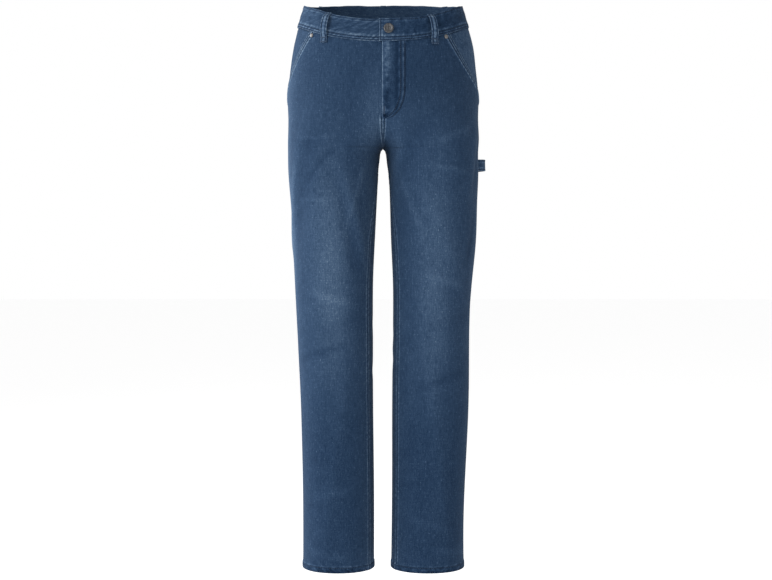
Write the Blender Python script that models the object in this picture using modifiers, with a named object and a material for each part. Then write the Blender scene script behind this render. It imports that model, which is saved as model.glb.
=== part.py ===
"""Straight carpenter jeans, filled out as if worn, with nothing inside.

Sizes are in millimetres and are turned into metres when a mesh is made.
+Z is up, the front faces -Y and +X is the wearer's left. The origin is the middle of the
waistband, at half its height at the sides. Left and right are the wearer's.

Every piece of cloth lies on one surface, the form. A point of the form is given by a side
(-1 right, +1 left), an angle about that side's leg (0 at the outer side, growing to the
front, negative to the back) and a height.
"""

import math
from collections import namedtuple

import bpy
import mathutils
import numpy as np

MM = 0.001
RIGHT, LEFT = -1, 1

# Cloth and seams
WALL = 1.5
SEAM_GAP = 0.3
HALF_GAP = SEAM_GAP / 2
ROW_GAP = HALF_GAP + 0.025
LAID_ON = 0.5

# Waist
SIDE_TOP = 20.0
FRONT_DIP = 34.0
BACK_RISE = 12.5
BACK_RISE_POWER = 1.3
BAND_HEIGHT = 40.5
BAND_WALL = 3.0
BAND_PROUD = 1.6
LAP_SHIFT = 1.75
LAP_RUN = 55.0
LAP_EASE = 0.06
OVER_END = -4.6
UNDER_END = 28.0
WAIST_REACH = 155.0
BAND_COLUMNS = 79

# Crotch and legs
BLOCK_END = -190.0
CROTCH = -247.0
CROTCH_RISE = 130.0
CROTCH_POWER = 1.5
ARCH_HEIGHT = 3.5
HEM = -1045.0
HEM_DEPTH = 11.0
HEM_PROUD = 1.0
HEM_STEP = 1.5
HEM_ROUNDING = 0.7

# Seam lines, as angles in radians
OUTSEAM_HIP = -0.05
OUTSEAM_LEG = -0.12
OUTSEAM_LEAN_RUN = 200.0
INSEAM_LEAN = 0.42
INSEAM_LEAN_RUN = 190.0

# Yoke, slant pockets and back pockets
YOKE_SIDE = 35.0
YOKE_CENTRE = 70.0
YOKE_POWER = 1.2
SLANT_TOP = {RIGHT: math.radians(36.5), LEFT: math.radians(44.5)}
SLANT_BOW = {RIGHT: 0.0, LEFT: 0.55}
SLANT_SHARE = 0.85
FACING_SINK = 3.0
FACING_UNDERLAP = 0.08
FACING_END_SHARE = 0.81
FACING_SHARES = (0.0, 0.35, 0.7, 1.0)
POCKET_ANGLE = -0.9
POCKET_TOP = -81.0
POCKET_WIDTH = 144.0
POCKET_FOOT_WIDTH = 126.0
POCKET_SIDE = 114.0
POCKET_POINT = 32.0
POCKET_WALL = 1.2
POCKET_LIFT = 0.75

# Fly
FLY_PAST_CENTRE = 1.3
FLY_WIDTH = 42.0
FLY_FOOT = -195.0
FLY_BEND = -140.0
FLY_FOOT_WIDTH = 6.0
FLY_WALL = 1.0
FLY_DROP = 0.9
FLY_ROWS = (0, 0.14, 0.28, 0.42, 0.54, 0.66, 0.75, 0.83, 0.89, 0.94, 0.98, 1)
FLY_SHARES = (0, 0.1, 0.35, 0.6, 0.82, 1)

# Belt loops and hammer loop
LOOP_WIDTH = 12.5
LOOP_WALL = 1.6
HAMMER_TOP = -267.5
HAMMER_HEIGHT = 21.5
HAMMER_ARCH = 2.0
HAMMER_WALL = 2.0
HAMMER_BULGE = 23.0
HAMMER_ENDS = (-0.10, -1.05)
HAMMER_SEWN = 0.06
HAMMER_SHARES = (0, 0.06, 0.12, 0.19, 0.28, 0.38, 0.49, 0.6, 0.7, 0.79, 0.87, 0.94, 1)

# Panel grid
COLUMNS = 11
EDGE_WINDOW = 24.0
EDGE_POWER = 6
BLOCK_SHARES = (0, 0.1, 0.2035, 0.32, 0.44, 0.56, 0.68, 0.76, 0.81, 0.85, 0.925, 1)
YOKE_ROW = 2
CROTCH_STEPS = (46, 36, 27, 19, 12.5, 7.5, 4, 1.5, 0, -3, -8, -16, -28, -44, -64, -88, -116)
LEG_ROWS = 24

# The form's half sections: how far out the side of each leg is from the middle plane, and
# where the front, the side and the back are from front to back.
Section = namedtuple("Section", "z outer_right outer_left front side back fullness")
SECTIONS = (
    Section(40, 139.5, 141.0, -94, 5, 104, 2.15),
    Section(10, 150.8, 151.5, -100, 6, 111, 2.15),
    Section(-24, 161.0, 161.5, -105, 8, 119, 2.2),
    Section(-58, 168.8, 170.6, -110, 10, 129, 2.2),
    Section(-96, 174.8, 175.8, -115, 12, 140, 2.2),
    Section(-150, 180.5, 181.0, -119, 14, 147, 2.3),
    Section(-193, 179.0, 180.3, -118, 12, 144, 2.4),
    Section(-232, 179.6, 181.8, -114, 8, 134, 2.45),
    Section(-250, 179.5, 180.2, -111, 5, 127.5, 2.4),
    Section(-287, 179.0, 180.2, -106, 1, 115, 2.3),
    Section(-344, 174.7, 178.3, -101, -3, 102, 2.15),
    Section(-420, 170.0, 176.0, -95, -6, 90, 2.1),
    Section(-496, 167.0, 168.8, -89, -7, 80, 2.1),
    Section(-572, 163.5, 164.2, -83, -6, 73, 2.1),
    Section(-648, 160.0, 163.7, -77, -3, 71, 2.1),
    Section(-725, 156.7, 163.2, -72, 0, 73, 2.1),
    Section(-802, 154.8, 160.5, -68.5, 3, 76.5, 2.1),
    Section(-879, 153.4, 156.9, -66, 5, 79, 2.1),
    Section(-960, 153.0, 154.4, -65, 6, 80, 2.1),
    Section(-1050, 153.3, 155.0, -65.5, 6, 80, 2.1),
)

# How far the inner side of each leg is from the middle plane, below the crotch.
LegGap = namedtuple("LegGap", "z right left")
LEG_GAPS = (
    LegGap(-240, 4.2, 4.2),
    LegGap(-268, 7.6, 7.8),
    LegGap(-306, 9.5, 11.2),
    LegGap(-344, 11.4, 13.0),
    LegGap(-420, 15.2, 15.2),
    LegGap(-496, 18.6, 18.6),
    LegGap(-572, 19.0, 19.0),
    LegGap(-725, 18.8, 17.4),
    LegGap(-879, 17.2, 17.2),
    LegGap(-1050, 17.2, 15.4),
)

# Soft folds of the cloth: each runs straight on the form between two places. A ridge has a
# positive depth and a trough a negative one. Angles are in degrees.
Fold = namedtuple("Fold", "side angle_top z_top angle_foot z_foot width depth")
FOLDS = (
    Fold(RIGHT, 40, -262, 18, -400, 17, 2.2),
    Fold(RIGHT, 62, -262, 40, -390, 17, -2.0),
    Fold(RIGHT, 109, -322, 134, -425, 12, 2.4),
    Fold(RIGHT, 95, -318, 118, -440, 14, -2.2),
    Fold(RIGHT, 30, -226, 62, -236, 9, -1.6),
    Fold(LEFT, 14, -242, 24, -292, 11, -3.0),
    Fold(LEFT, 30, -236, 40, -310, 12, 1.8),
    Fold(LEFT, 135, -262, 104, -205, 11, 2.4),
    Fold(LEFT, 118, -262, 92, -215, 10, -2.0),
    Fold(LEFT, 96, -350, 60, -470, 18, 1.6),
    Fold(LEFT, 40, -560, 110, -600, 16, -1.6),
    Fold(RIGHT, 50, -590, 120, -570, 16, -1.6),
    Fold(LEFT, 90, -700, 70, -900, 17, 1.8),
    Fold(RIGHT, 100, -720, 78, -930, 17, 1.6),
    Fold(RIGHT, -150, -262, -75, -292, 13, -3.4),
    Fold(RIGHT, -158, -285, -100, -330, 13, 2.6),
    Fold(RIGHT, -165, -310, -120, -372, 12, -2.4),
    Fold(LEFT, -150, -266, -80, -300, 14, -3.4),
    Fold(LEFT, -160, -292, -105, -338, 13, 2.4),
    Fold(LEFT, -164, -318, -118, -392, 12, -2.6),
    Fold(RIGHT, -150, -585, -50, -606, 13, -3.0),
    Fold(RIGHT, -135, -622, -60, -640, 13, 2.0),
    Fold(RIGHT, -160, -664, -78, -650, 12, -2.4),
    Fold(LEFT, -152, -596, -60, -580, 13, -2.8),
    Fold(LEFT, -140, -628, -50, -622, 14, 2.2),
    Fold(LEFT, -158, -652, -72, -672, 12, -2.6),
    Fold(RIGHT, -80, -760, -100, -960, 18, 1.8),
    Fold(LEFT, -95, -740, -72, -950, 18, 1.8),
)
MM_PER_DEGREE = 1.65
FOLD_FREE = 15.0
FOLD_TAPER = 3.0


def smooth(share):
    """A soft step from 0 to 1."""
    share = np.clip(share, 0.0, 1.0)
    return share * share * (3 - 2 * share)


def spline(heights, values):
    """The natural cubic spline through the values, as a function of height."""
    order = np.argsort(heights)
    knots = np.array(heights, float)[order]
    levels = np.array(values, float)[order]
    steps = np.diff(knots)
    slopes = np.diff(levels) / steps
    last = len(knots) - 1
    matrix = np.eye(last + 1)
    target = np.zeros(last + 1)
    for k in range(1, last):
        matrix[k, k - 1 : k + 2] = (steps[k - 1], 2 * (steps[k - 1] + steps[k]), steps[k])
        target[k] = 6 * (slopes[k] - slopes[k - 1])
    bends = np.linalg.solve(matrix, target)

    def value(height):
        height = np.clip(height, knots[0], knots[-1])
        k = np.clip(np.searchsorted(knots, height) - 1, 0, last - 1)
        above = (height - knots[k]) / steps[k]
        below = 1 - above
        bend = (below**3 - below) * bends[k] + (above**3 - above) * bends[k + 1]
        return below * levels[k] + above * levels[k + 1] + bend * steps[k] ** 2 / 6

    return value


def column(table, name):
    return spline([row.z for row in table], [getattr(row, name) for row in table])


OUTER = {RIGHT: column(SECTIONS, "outer_right"), LEFT: column(SECTIONS, "outer_left")}
INNER = {RIGHT: column(LEG_GAPS, "right"), LEFT: column(LEG_GAPS, "left")}
FRONT = column(SECTIONS, "front")
SIDE = column(SECTIONS, "side")
BACK = column(SECTIONS, "back")
FULLNESS = column(SECTIONS, "fullness")


def leg_span(side, z):
    """The centre and half width of a half section. Above the crotch it reaches past the middle."""
    outer = OUTER[side](z)
    closed = (1 - np.clip((z - CROTCH) / CROTCH_RISE, 0, 1)) ** CROTCH_POWER
    above = HALF_GAP - outer * (1 - closed) / (1 + closed)
    drop = np.maximum(CROTCH - z, 0)
    below = HALF_GAP + (INNER[side](z) - HALF_GAP) * (1 - np.exp(-drop / ARCH_HEIGHT))
    inner = np.where(z > CROTCH, above, below)
    return (outer + inner) / 2, (outer - inner) / 2


def bare_form(side, angle, z):
    """Points of the form with no folds."""
    centre, reach = leg_span(side, z)
    power = 2 / FULLNESS(z)
    across = np.sign(np.cos(angle)) * np.abs(np.cos(angle)) ** power
    along = np.abs(np.sin(angle)) ** power
    middle = SIDE(z)
    depth = np.where(np.sin(angle) > 0, FRONT(z), BACK(z)) - middle
    return np.stack([side * (centre + reach * across), middle + depth * along, z], axis=-1)


def form_normal(side, angle, z):
    turn = bare_form(side, angle + 0.004, z) - bare_form(side, angle - 0.004, z)
    rise = bare_form(side, angle, z + 0.5) - bare_form(side, angle, z - 0.5)
    normal = side * np.cross(rise, turn)
    return normal / np.linalg.norm(normal, axis=-1, keepdims=True)


def fold_height(side, angle, z, x):
    """How far the folds lift the cloth. They fade out at the middle plane."""
    total = np.zeros(np.shape(z))
    degrees = np.degrees(angle)
    for fold in FOLDS:
        if fold.side != side:
            continue
        across = ((degrees - fold.angle_top + 180) % 360 - 180) * MM_PER_DEGREE
        down = z - fold.z_top
        run_across = (fold.angle_foot - fold.angle_top) * MM_PER_DEGREE
        run_down = fold.z_foot - fold.z_top
        length = math.hypot(run_across, run_down)
        along = (across * run_across + down * run_down) / length
        beside = (across * run_down - down * run_across) / length
        beyond = (np.abs(along - length / 2) - length / 2).clip(0) / FOLD_TAPER
        total += fold.depth * np.exp(-(beside**2 + beyond**2) / fold.width**2)
    return total * smooth(np.abs(x) / FOLD_FREE)


def cloth(side, angle, z, lift):
    """Points at a height above the folded form, along its normal."""
    angle, z = np.broadcast_arrays(np.asarray(angle, float), np.asarray(z, float))
    base = bare_form(side, angle, z)
    height = fold_height(side, angle, z, base[..., 0]) + lift
    return base + form_normal(side, angle, z) * height[..., None]


def waist_seam(angle):
    """The height of the seam under the waistband: low in front, high at the back."""
    depth = np.abs(np.sin(angle))
    rise = np.where(np.sin(angle) > 0, -FRONT_DIP * depth**2, BACK_RISE * depth**BACK_RISE_POWER)
    return SIDE_TOP - BAND_HEIGHT + rise


def middle_angle(side, z):
    """The angle at which a half section meets the middle plane, or pi below the crotch."""
    centre, reach = leg_span(side, z)
    across = np.clip((HALF_GAP - centre) / reach, -1, 1)
    return np.arccos(np.sign(across) * np.abs(across) ** (FULLNESS(z) / 2))


def gap_angle(z):
    """Half a seam's gap, as an angle about the leg."""
    return HALF_GAP / ((BACK(z) - FRONT(z)) / 2)


def inseam_angle(z):
    return math.pi - INSEAM_LEAN * smooth((CROTCH - z) / INSEAM_LEAN_RUN)


def outseam_angle(z):
    lean = smooth((BLOCK_END - z) / OUTSEAM_LEAN_RUN)
    return OUTSEAM_HIP + (OUTSEAM_LEG - OUTSEAM_HIP) * lean


def outseam_front(side, z):
    return outseam_angle(z) + gap_angle(z)


def outseam_back(side, z):
    return outseam_angle(z) - gap_angle(z)


def front_middle(side, z):
    return np.where(z > CROTCH, middle_angle(side, z), inseam_angle(z) - gap_angle(z))


def back_middle(side, z):
    below = inseam_angle(z) + gap_angle(z) - 2 * math.pi
    return np.where(z > CROTCH, -middle_angle(side, z), below)


def block_height(angle, share):
    """Heights from the waist seam (0) to the level line at the end of the block (1)."""
    return waist_seam(angle) * (1 - share) + BLOCK_END * share


SLANT_FOOT = float(block_height(OUTSEAM_HIP, SLANT_SHARE))


def slant_angle(side, z):
    """The edge of the slant pocket's opening, which meets the outseam at its foot."""
    top = SLANT_TOP[side]
    foot = outseam_front(side, z)
    share = np.maximum((z - SLANT_FOOT) / (waist_seam(top) - SLANT_FOOT), 0)
    return foot + (top - foot) * (share + SLANT_BOW[side] * share * (1 - share))


def yoke_share(angle):
    depth = YOKE_SIDE + (YOKE_CENTRE - YOKE_SIDE) * np.abs(np.sin(angle)) ** YOKE_POWER
    return depth / (waist_seam(angle) - BLOCK_END)


def front_row(share):
    return lambda angle: block_height(angle, share) - ROW_GAP * (share == 0)


def yoke_row(share):
    def height(angle):
        top = ROW_GAP * (share == 0)
        foot = HALF_GAP * (share == 1)
        return block_height(angle, yoke_share(angle) * share) - top + foot

    return height


def back_row(share):
    def height(angle):
        edge = yoke_share(angle)
        return block_height(angle, edge + (1 - edge) * share) - HALF_GAP * (share == 0)

    return height


def level_row(z):
    return lambda angle: np.full(np.shape(angle), float(z))


def meet(side, height, edge):
    """The angle at which a row of a panel meets an edge, found by going back and forth."""
    angle = np.array(0.5 if edge in (slant_angle, outseam_front, front_middle) else -0.5)
    for _ in range(12):
        angle = edge(side, height(angle))
    return float(angle)


def leg_heights():
    """The heights of the level rows, from below the block to the hem."""
    crotch = [CROTCH + step for step in CROTCH_STEPS]
    leg = list(np.linspace(crotch[-1], HEM + HEM_DEPTH + HEM_STEP, LEG_ROWS + 1))[1:]
    return crotch + leg + [HEM + HEM_DEPTH, HEM + 1, HEM]


def hem_lift(z):
    """The rolled hem is thicker than the leg."""
    full = HEM_PROUD * smooth((HEM + HEM_DEPTH + HEM_STEP - z) / HEM_STEP)
    return np.where(z <= HEM, HEM_ROUNDING * full, full)


def panel(side, rows, first_edge, last_edge):
    """The outer and inner points of a panel, a row for each height function. The columns
    follow the last edge's average course, so that its quick turn at the crotch moves only
    the columns next to it."""
    outer, inner = [], []
    shares = np.linspace(0, 1, COLUMNS + 1)
    for height in rows:
        start, end = meet(side, height, first_edge), meet(side, height, last_edge)
        near = float(height(np.array(end))) + np.linspace(-EDGE_WINDOW, EDGE_WINDOW, 13)
        even = float(np.mean(last_edge(side, near)))
        angles = start + (even - start) * shares + (end - even) * shares**EDGE_POWER
        z = height(angles)
        outer.append(cloth(side, angles, z, hem_lift(z)))
        inner.append(cloth(side, angles, z, -WALL - hem_lift(z)))
    return np.array(outer), np.array(inner)


def signed_volume(points, faces):
    total = 0.0
    for face in faces:
        for k in range(1, len(face) - 1):
            corner, second, third = (points[face[i]] for i in (0, k, k + 1))
            total += np.dot(corner, np.cross(second, third))
    return total


def shell(name, outer, inner, material):
    """A closed wall lofted between two grids of points. Solidify would tilt the rims at the
    seams, where neighbouring pieces have to stay parallel."""
    rows, columns = outer.shape[:2]
    points = np.concatenate([outer.reshape(-1, 3), inner.reshape(-1, 3)])
    under = rows * columns
    faces = []
    for i in range(rows - 1):
        for j in range(columns - 1):
            corner = i * columns + j
            loop = (corner, corner + 1, corner + columns + 1, corner + columns)
            faces.append(loop)
            faces.append(tuple(under + k for k in reversed(loop)))
    top = list(range(columns))
    right = [i * columns + columns - 1 for i in range(1, rows)]
    foot = [(rows - 1) * columns + j for j in reversed(range(columns - 1))]
    left = [i * columns for i in reversed(range(1, rows - 1))]
    rim = top + right + foot + left
    for k, this in enumerate(rim):
        following = rim[(k + 1) % len(rim)]
        faces.append((following, this, under + this, under + following))
    if signed_volume(points, faces) < 0:
        faces = [tuple(reversed(face)) for face in faces]
    mesh = bpy.data.meshes.new(name)
    mesh.from_pydata((points * MM).tolist(), [], faces)
    mesh.shade_smooth()
    mesh.set_sharp_from_angle(angle=math.radians(50))
    return add_object(name, mesh, material)


def add_object(name, mesh, material):
    item = bpy.data.objects.new(name, mesh)
    mesh.materials.append(material)
    bpy.data.collections["Jeans"].objects.link(item)
    return item


def make_material(name, colour, roughness, metallic=0.0):
    material = bpy.data.materials.new(name)
    material.use_nodes = True
    shader = material.node_tree.nodes["Principled BSDF"]
    shader.inputs["Base Color"].default_value = (*colour, 1)
    shader.inputs["Roughness"].default_value = roughness
    shader.inputs["Metallic"].default_value = metallic
    material.diffuse_color = (*colour, 1)
    return material


def make_panels(denim):
    levels = [level_row(z) for z in leg_heights()]
    yoke_edge = BLOCK_SHARES[YOKE_ROW]
    front_rows = [front_row(share) for share in BLOCK_SHARES]
    yoke_rows = [yoke_row(share / yoke_edge) for share in BLOCK_SHARES[: YOKE_ROW + 1]]
    back_shares = [(share - yoke_edge) / (1 - yoke_edge) for share in BLOCK_SHARES[YOKE_ROW:]]
    back_rows = [back_row(share) for share in back_shares]
    for side, word in ((RIGHT, "right"), (LEFT, "left")):
        front = panel(side, front_rows + levels, slant_angle, front_middle)
        shell(f"front_{word}", *front, denim)
        back = panel(side, back_rows + levels, outseam_back, back_middle)
        shell(f"back_{word}", *back, denim)
        yoke = panel(side, yoke_rows, outseam_back, back_middle)
        shell(f"yoke_{word}", *yoke, denim)


def make_facing(name, side, denim):
    """The piece behind a slant pocket's opening. It sinks from the outseam to the opening."""
    outer, inner = [], []
    shares = [share for share in BLOCK_SHARES if share < FACING_END_SHARE] + [FACING_END_SHARE]
    for share in shares:
        height = front_row(share)
        start, edge = meet(side, height, outseam_front), meet(side, height, slant_angle)
        inside = np.array(FACING_SHARES)
        under = edge + FACING_UNDERLAP * np.array([0.5, 1])
        angles = np.concatenate([start + (edge - start) * inside, under])
        sink = FACING_SINK * smooth(np.concatenate([inside, np.ones(len(under))]))
        z = height(angles)
        outer.append(cloth(side, angles, z, -sink))
        inner.append(cloth(side, angles, z, -sink - WALL))
    shell(name, np.array(outer), np.array(inner), denim)


def alike(*values):
    """The values as arrays of one shape."""
    return np.broadcast_arrays(*[np.asarray(value, float) for value in values])


def around(turn, z, lift):
    """Points of the form by their turn about the waist: 0 at the centre front, growing to the
    wearer's left and on round the back."""
    turn, z, lift = alike(turn, z, lift)
    turn = turn % (2 * math.pi)
    on_left = turn <= math.pi
    left = cloth(LEFT, math.pi / 2 - turn, z, lift)
    right = cloth(RIGHT, turn - 3 * math.pi / 2, z, lift)
    return np.where(on_left[..., None], left, right)


def turn_angle(turn):
    """The form's angle at a turn about the waist."""
    turn = turn % (2 * math.pi)
    return np.where(turn <= math.pi, math.pi / 2 - turn, turn - 3 * math.pi / 2)


def make_waistband(denim):
    """One strip round the waist. Its left end laps over its right end at the centre front."""
    start, end = OVER_END / WAIST_REACH, 2 * math.pi + UNDER_END / WAIST_REACH
    turns = np.linspace(start, end, BAND_COLUMNS)
    run = LAP_RUN / WAIST_REACH
    over = smooth((run - turns) / run)
    under = smooth((turns - (2 * math.pi - run)) / (run - LAP_EASE))
    lift = BAND_PROUD + LAP_SHIFT * (over - under)
    outer, inner = [], []
    for share in (0.0, 0.5, 1.0):
        z = waist_seam(turn_angle(turns)) + share * BAND_HEIGHT
        z += ROW_GAP * (share == 0)
        outer.append(around(turns, z, lift))
        inner.append(around(turns, z, lift - BAND_WALL))
    shell("waistband", np.array(outer), np.array(inner), denim)


def front_point(x, z, lift):
    """Points of the front by their distance from the middle plane and height."""
    x, z, lift = alike(x, z, lift)
    sides = {}
    for side in (RIGHT, LEFT):
        centre, reach = leg_span(side, z)
        across = np.clip((np.abs(x) - centre) / reach, -1, 1)
        angle = np.arccos(np.sign(across) * np.abs(across) ** (FULLNESS(z) / 2))
        sides[side] = cloth(side, angle, z, lift)
    return np.where(x[..., None] > 0, sides[LEFT], sides[RIGHT])


def make_fly(denim):
    """The placket on the left front, straight down and then curved in to the crotch seam."""
    top = float(waist_seam(math.pi / 2)) - FLY_DROP
    outer, inner = [], []
    for share in FLY_ROWS:
        z = top + (FLY_FOOT - top) * share
        bend = min(max((FLY_BEND - z) / (FLY_BEND - FLY_FOOT), 0), 1)
        width = FLY_FOOT_WIDTH + (FLY_WIDTH - FLY_FOOT_WIDTH) * math.sqrt(1 - bend**2)
        x = -FLY_PAST_CENTRE + (width + FLY_PAST_CENTRE) * np.array(FLY_SHARES)
        rise = (1 - share) * FRONT_DIP * (x / WAIST_REACH) ** 2
        outer.append(front_point(x, z + rise, LAID_ON + FLY_WALL))
        inner.append(front_point(x, z + rise, LAID_ON))
    shell("fly", np.array(outer), np.array(inner), denim)


def walk(side, angle, z, distance):
    """The angle that lies a distance along the cloth from another, at one height."""
    steps = 12
    angle = np.full(np.shape(distance), float(angle))
    for _ in range(steps):
        ahead = bare_form(side, angle + 0.01, z) - bare_form(side, angle - 0.01, z)
        speed = np.linalg.norm(ahead, axis=-1) / 0.02
        angle = angle + distance / steps / speed
    return angle


def make_back_pocket(name, side, denim):
    """A patch with a pointed foot, laid on the back panel."""
    shares = np.linspace(-1, 1, 12)
    outer, inner = [], []
    for down in np.linspace(0, 1, 12):
        depth = down * (POCKET_SIDE + POCKET_POINT * (1 - np.abs(shares)))
        half = (POCKET_WIDTH + (POCKET_FOOT_WIDTH - POCKET_WIDTH) * down) / 2
        z = POCKET_TOP - depth
        angle = walk(side, POCKET_ANGLE, z, half * shares)
        outer.append(cloth(side, angle, z, POCKET_LIFT + POCKET_WALL))
        inner.append(cloth(side, angle, z, POCKET_LIFT))
    shell(name, np.array(outer), np.array(inner), denim)


# A belt loop's strap from its foot to its top: the height over the waist seam, the space
# under it and how thick it is. Its foot is folded under and tacked.
LoopRow = namedtuple("LoopRow", "rise space wall")
LOOP_ROWS = (
    LoopRow(-14.0, 0.5, 2.4),
    LoopRow(-6.5, 0.6, 2.4),
    LoopRow(-3.0, 2.2, 1.8),
    LoopRow(2.5, 6.0, LOOP_WALL),
    LoopRow(10.0, 8.6, LOOP_WALL),
    LoopRow(19.5, 9.6, LOOP_WALL),
    LoopRow(29.0, 8.6, LOOP_WALL),
    LoopRow(35.5, 5.4, LOOP_WALL),
    LoopRow(38.2, 2.3, 1.8),
    LoopRow(40.3, 2.1, 1.8),
)
Loop = namedtuple("Loop", "name side angle")
LOOPS = (
    Loop("loop_front_right", RIGHT, 52.0),
    Loop("loop_front_left", LEFT, 58.3),
    Loop("loop_back_right", RIGHT, -38.0),
    Loop("loop_back_left", LEFT, -38.0),
    Loop("loop_centre", LEFT, -90.0),
)


def make_loop(loop, denim):
    angle = math.radians(loop.angle)
    turn = math.pi / 2 - angle if loop.side == LEFT else angle + 3 * math.pi / 2
    seam = float(waist_seam(angle))
    ahead = around(turn + 0.01, seam, 0) - around(turn - 0.01, seam, 0)
    speed = np.linalg.norm(ahead) / 0.02
    turns = turn + LOOP_WIDTH / speed * np.linspace(-0.5, 0.5, 4)
    outer = [around(turns, seam + row.rise, row.space + row.wall) for row in LOOP_ROWS]
    inner = [around(turns, seam + row.rise, row.space) for row in LOOP_ROWS]
    shell(loop.name, np.array(outer), np.array(inner), denim)


def make_hammer_loop(denim):
    """A strap sewn in at the left outseam and across to the back of the leg, hanging open."""
    shares = np.array(HAMMER_SHARES)
    angles = HAMMER_ENDS[0] + (HAMMER_ENDS[1] - HAMMER_ENDS[0]) * shares
    open_share = np.clip((shares - HAMMER_SEWN) / (1 - 2 * HAMMER_SEWN), 0, 1)
    space = LAID_ON + HAMMER_BULGE * np.sin(math.pi * open_share**0.85) ** 0.8
    outer, inner = [], []
    for down in (0, 0.5, 1):
        z = HAMMER_TOP - HAMMER_HEIGHT * down + HAMMER_ARCH * np.sin(math.pi * shares)
        outer.append(cloth(LEFT, angles, z, space + HAMMER_WALL))
        inner.append(cloth(LEFT, angles, z, space))
    shell("hammer_loop", np.array(outer), np.array(inner), denim)


# Turned metal pieces: radius and height of each ring, from the middle of the top round and
# down to the middle of the underside.
BUTTON_FACE = ((0, 2.9), (3.6, 2.9), (4.6, 3.6), (6.6, 4.1), (8.3, 3.7), (9.1, 2.9))
BUTTON_BACK = ((8.7, 2.1), (3.6, 1.8), (3.6, 0), (0, 0))
RIVET_PROFILE = ((0, 1.9), (2.0, 1.8), (3.3, 1.2), (3.9, 0.5), (3.9, 0), (0, 0))
BUTTON_X, BUTTON_Z = 10.3, -32.0
Rivet = namedtuple("Rivet", "name side angle z")
RIVETS = (
    Rivet("rivet_right", RIGHT, 39.3, -40.6),
    Rivet("rivet_left", LEFT, 48.2, -44.2),
)


def make_turned(name, profile, steps, place, normal, material):
    mesh = bpy.data.meshes.new(name)
    points = [(radius * MM, 0, height * MM) for radius, height in profile]
    mesh.from_pydata(points, [(k, k + 1) for k in range(len(points) - 1)], [])
    item = add_object(name, mesh, material)
    item.location = mathutils.Vector(place * MM)
    item.rotation_mode = "QUATERNION"
    item.rotation_quaternion = mathutils.Vector(normal).to_track_quat("Z", "Y")
    screw = item.modifiers.new("Turn", "SCREW")
    screw.steps = screw.render_steps = steps
    screw.use_merge_vertices = True
    screw.merge_threshold = 0.00001
    screw.use_smooth_shade = True
    return item


def make_hardware(antique, silver):
    on_band = BAND_PROUD + LAP_SHIFT + 0.35
    place = front_point(BUTTON_X, BUTTON_Z, on_band)
    normal = front_point(BUTTON_X, BUTTON_Z, on_band + 1) - place
    make_turned("button", BUTTON_FACE + BUTTON_BACK, 20, place, normal, antique)
    for rivet in RIVETS:
        angle = math.radians(rivet.angle)
        place = cloth(rivet.side, angle, rivet.z, LAID_ON)
        normal = form_normal(rivet.side, angle, np.float64(rivet.z))
        make_turned(rivet.name, RIVET_PROFILE, 14, place, normal, silver)


def main():
    for item in list(bpy.data.objects):
        bpy.data.objects.remove(item, do_unlink=True)
    bpy.context.scene.collection.children.link(bpy.data.collections.new("Jeans"))
    denim = make_material("Denim", (0.045, 0.085, 0.14), 0.85)
    antique = make_material("Antique metal", (0.25, 0.25, 0.26), 0.4, 1.0)
    silver = make_material("Silver metal", (0.55, 0.52, 0.5), 0.35, 1.0)
    make_panels(denim)
    make_waistband(denim)
    make_facing("pocket_facing_right", RIGHT, denim)
    make_facing("pocket_facing_left", LEFT, denim)
    make_fly(denim)
    make_back_pocket("back_pocket_right", RIGHT, denim)
    make_back_pocket("back_pocket_left", LEFT, denim)
    for loop in LOOPS:
        make_loop(loop, denim)
    make_hammer_loop(denim)
    make_hardware(antique, silver)


main()
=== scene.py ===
"""Looks of the jeans: each piece of cloth as a thin shell on its solid's form, with seams,
stitches, creases, abrasion and painted light and shade, then the metal pieces, the floor, the lights
and the camera.

Sizes are in millimetres and are turned into metres when a mesh is made. The form is the one of
the solids: a point is given by a side (-1 the wearer's right, +1 left), an angle about that
side's leg (0 at the outer side, growing to the front) and a height.
"""

import math
from collections import defaultdict, namedtuple

import bpy
import mathutils
import numpy as np
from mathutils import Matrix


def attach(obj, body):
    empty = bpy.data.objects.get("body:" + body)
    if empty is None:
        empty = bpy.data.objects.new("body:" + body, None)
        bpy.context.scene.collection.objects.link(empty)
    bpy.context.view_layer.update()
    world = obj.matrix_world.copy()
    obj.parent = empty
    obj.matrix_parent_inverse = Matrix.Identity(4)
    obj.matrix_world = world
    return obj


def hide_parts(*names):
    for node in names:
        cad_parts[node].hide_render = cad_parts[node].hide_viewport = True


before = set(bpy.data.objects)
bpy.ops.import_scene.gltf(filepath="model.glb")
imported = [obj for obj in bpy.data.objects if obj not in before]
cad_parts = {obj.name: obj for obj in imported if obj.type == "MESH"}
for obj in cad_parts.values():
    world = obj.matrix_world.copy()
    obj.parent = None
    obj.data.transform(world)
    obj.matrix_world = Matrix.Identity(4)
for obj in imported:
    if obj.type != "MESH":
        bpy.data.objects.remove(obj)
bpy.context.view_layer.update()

MM = 0.001
RIGHT, LEFT = -1, 1
WORDS = {RIGHT: "right", LEFT: "left"}

# Cloth and seams
WALL = 1.5
SEAM_GAP = 0.04
HALF_GAP = SEAM_GAP / 2
BAND_GAP = HALF_GAP + 0.025
LAID_ON = 0.5

# Waist
SIDE_TOP = 20.0
FRONT_DIP = 34.0
BACK_RISE = 12.5
BACK_RISE_POWER = 1.3
BAND_HEIGHT = 40.5
BAND_WALL = 3.0
BAND_PROUD = 1.6
LAP_SHIFT = 1.75
LAP_RUN = 55.0
LAP_EARLY = 0.06
OVER_END = -4.6
UNDER_END = 28.0

# Crotch and legs
BLOCK_END = -190.0
CROTCH = -247.0
CROTCH_RISE = 130.0
CROTCH_POWER = 1.5
ARCH_HEIGHT = 3.5
HEM = -1045.0
HEM_DEPTH = 11.0
HEM_PROUD = 1.0
HEM_STEP = 1.5
HEM_END_SHARE = 0.7

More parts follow.
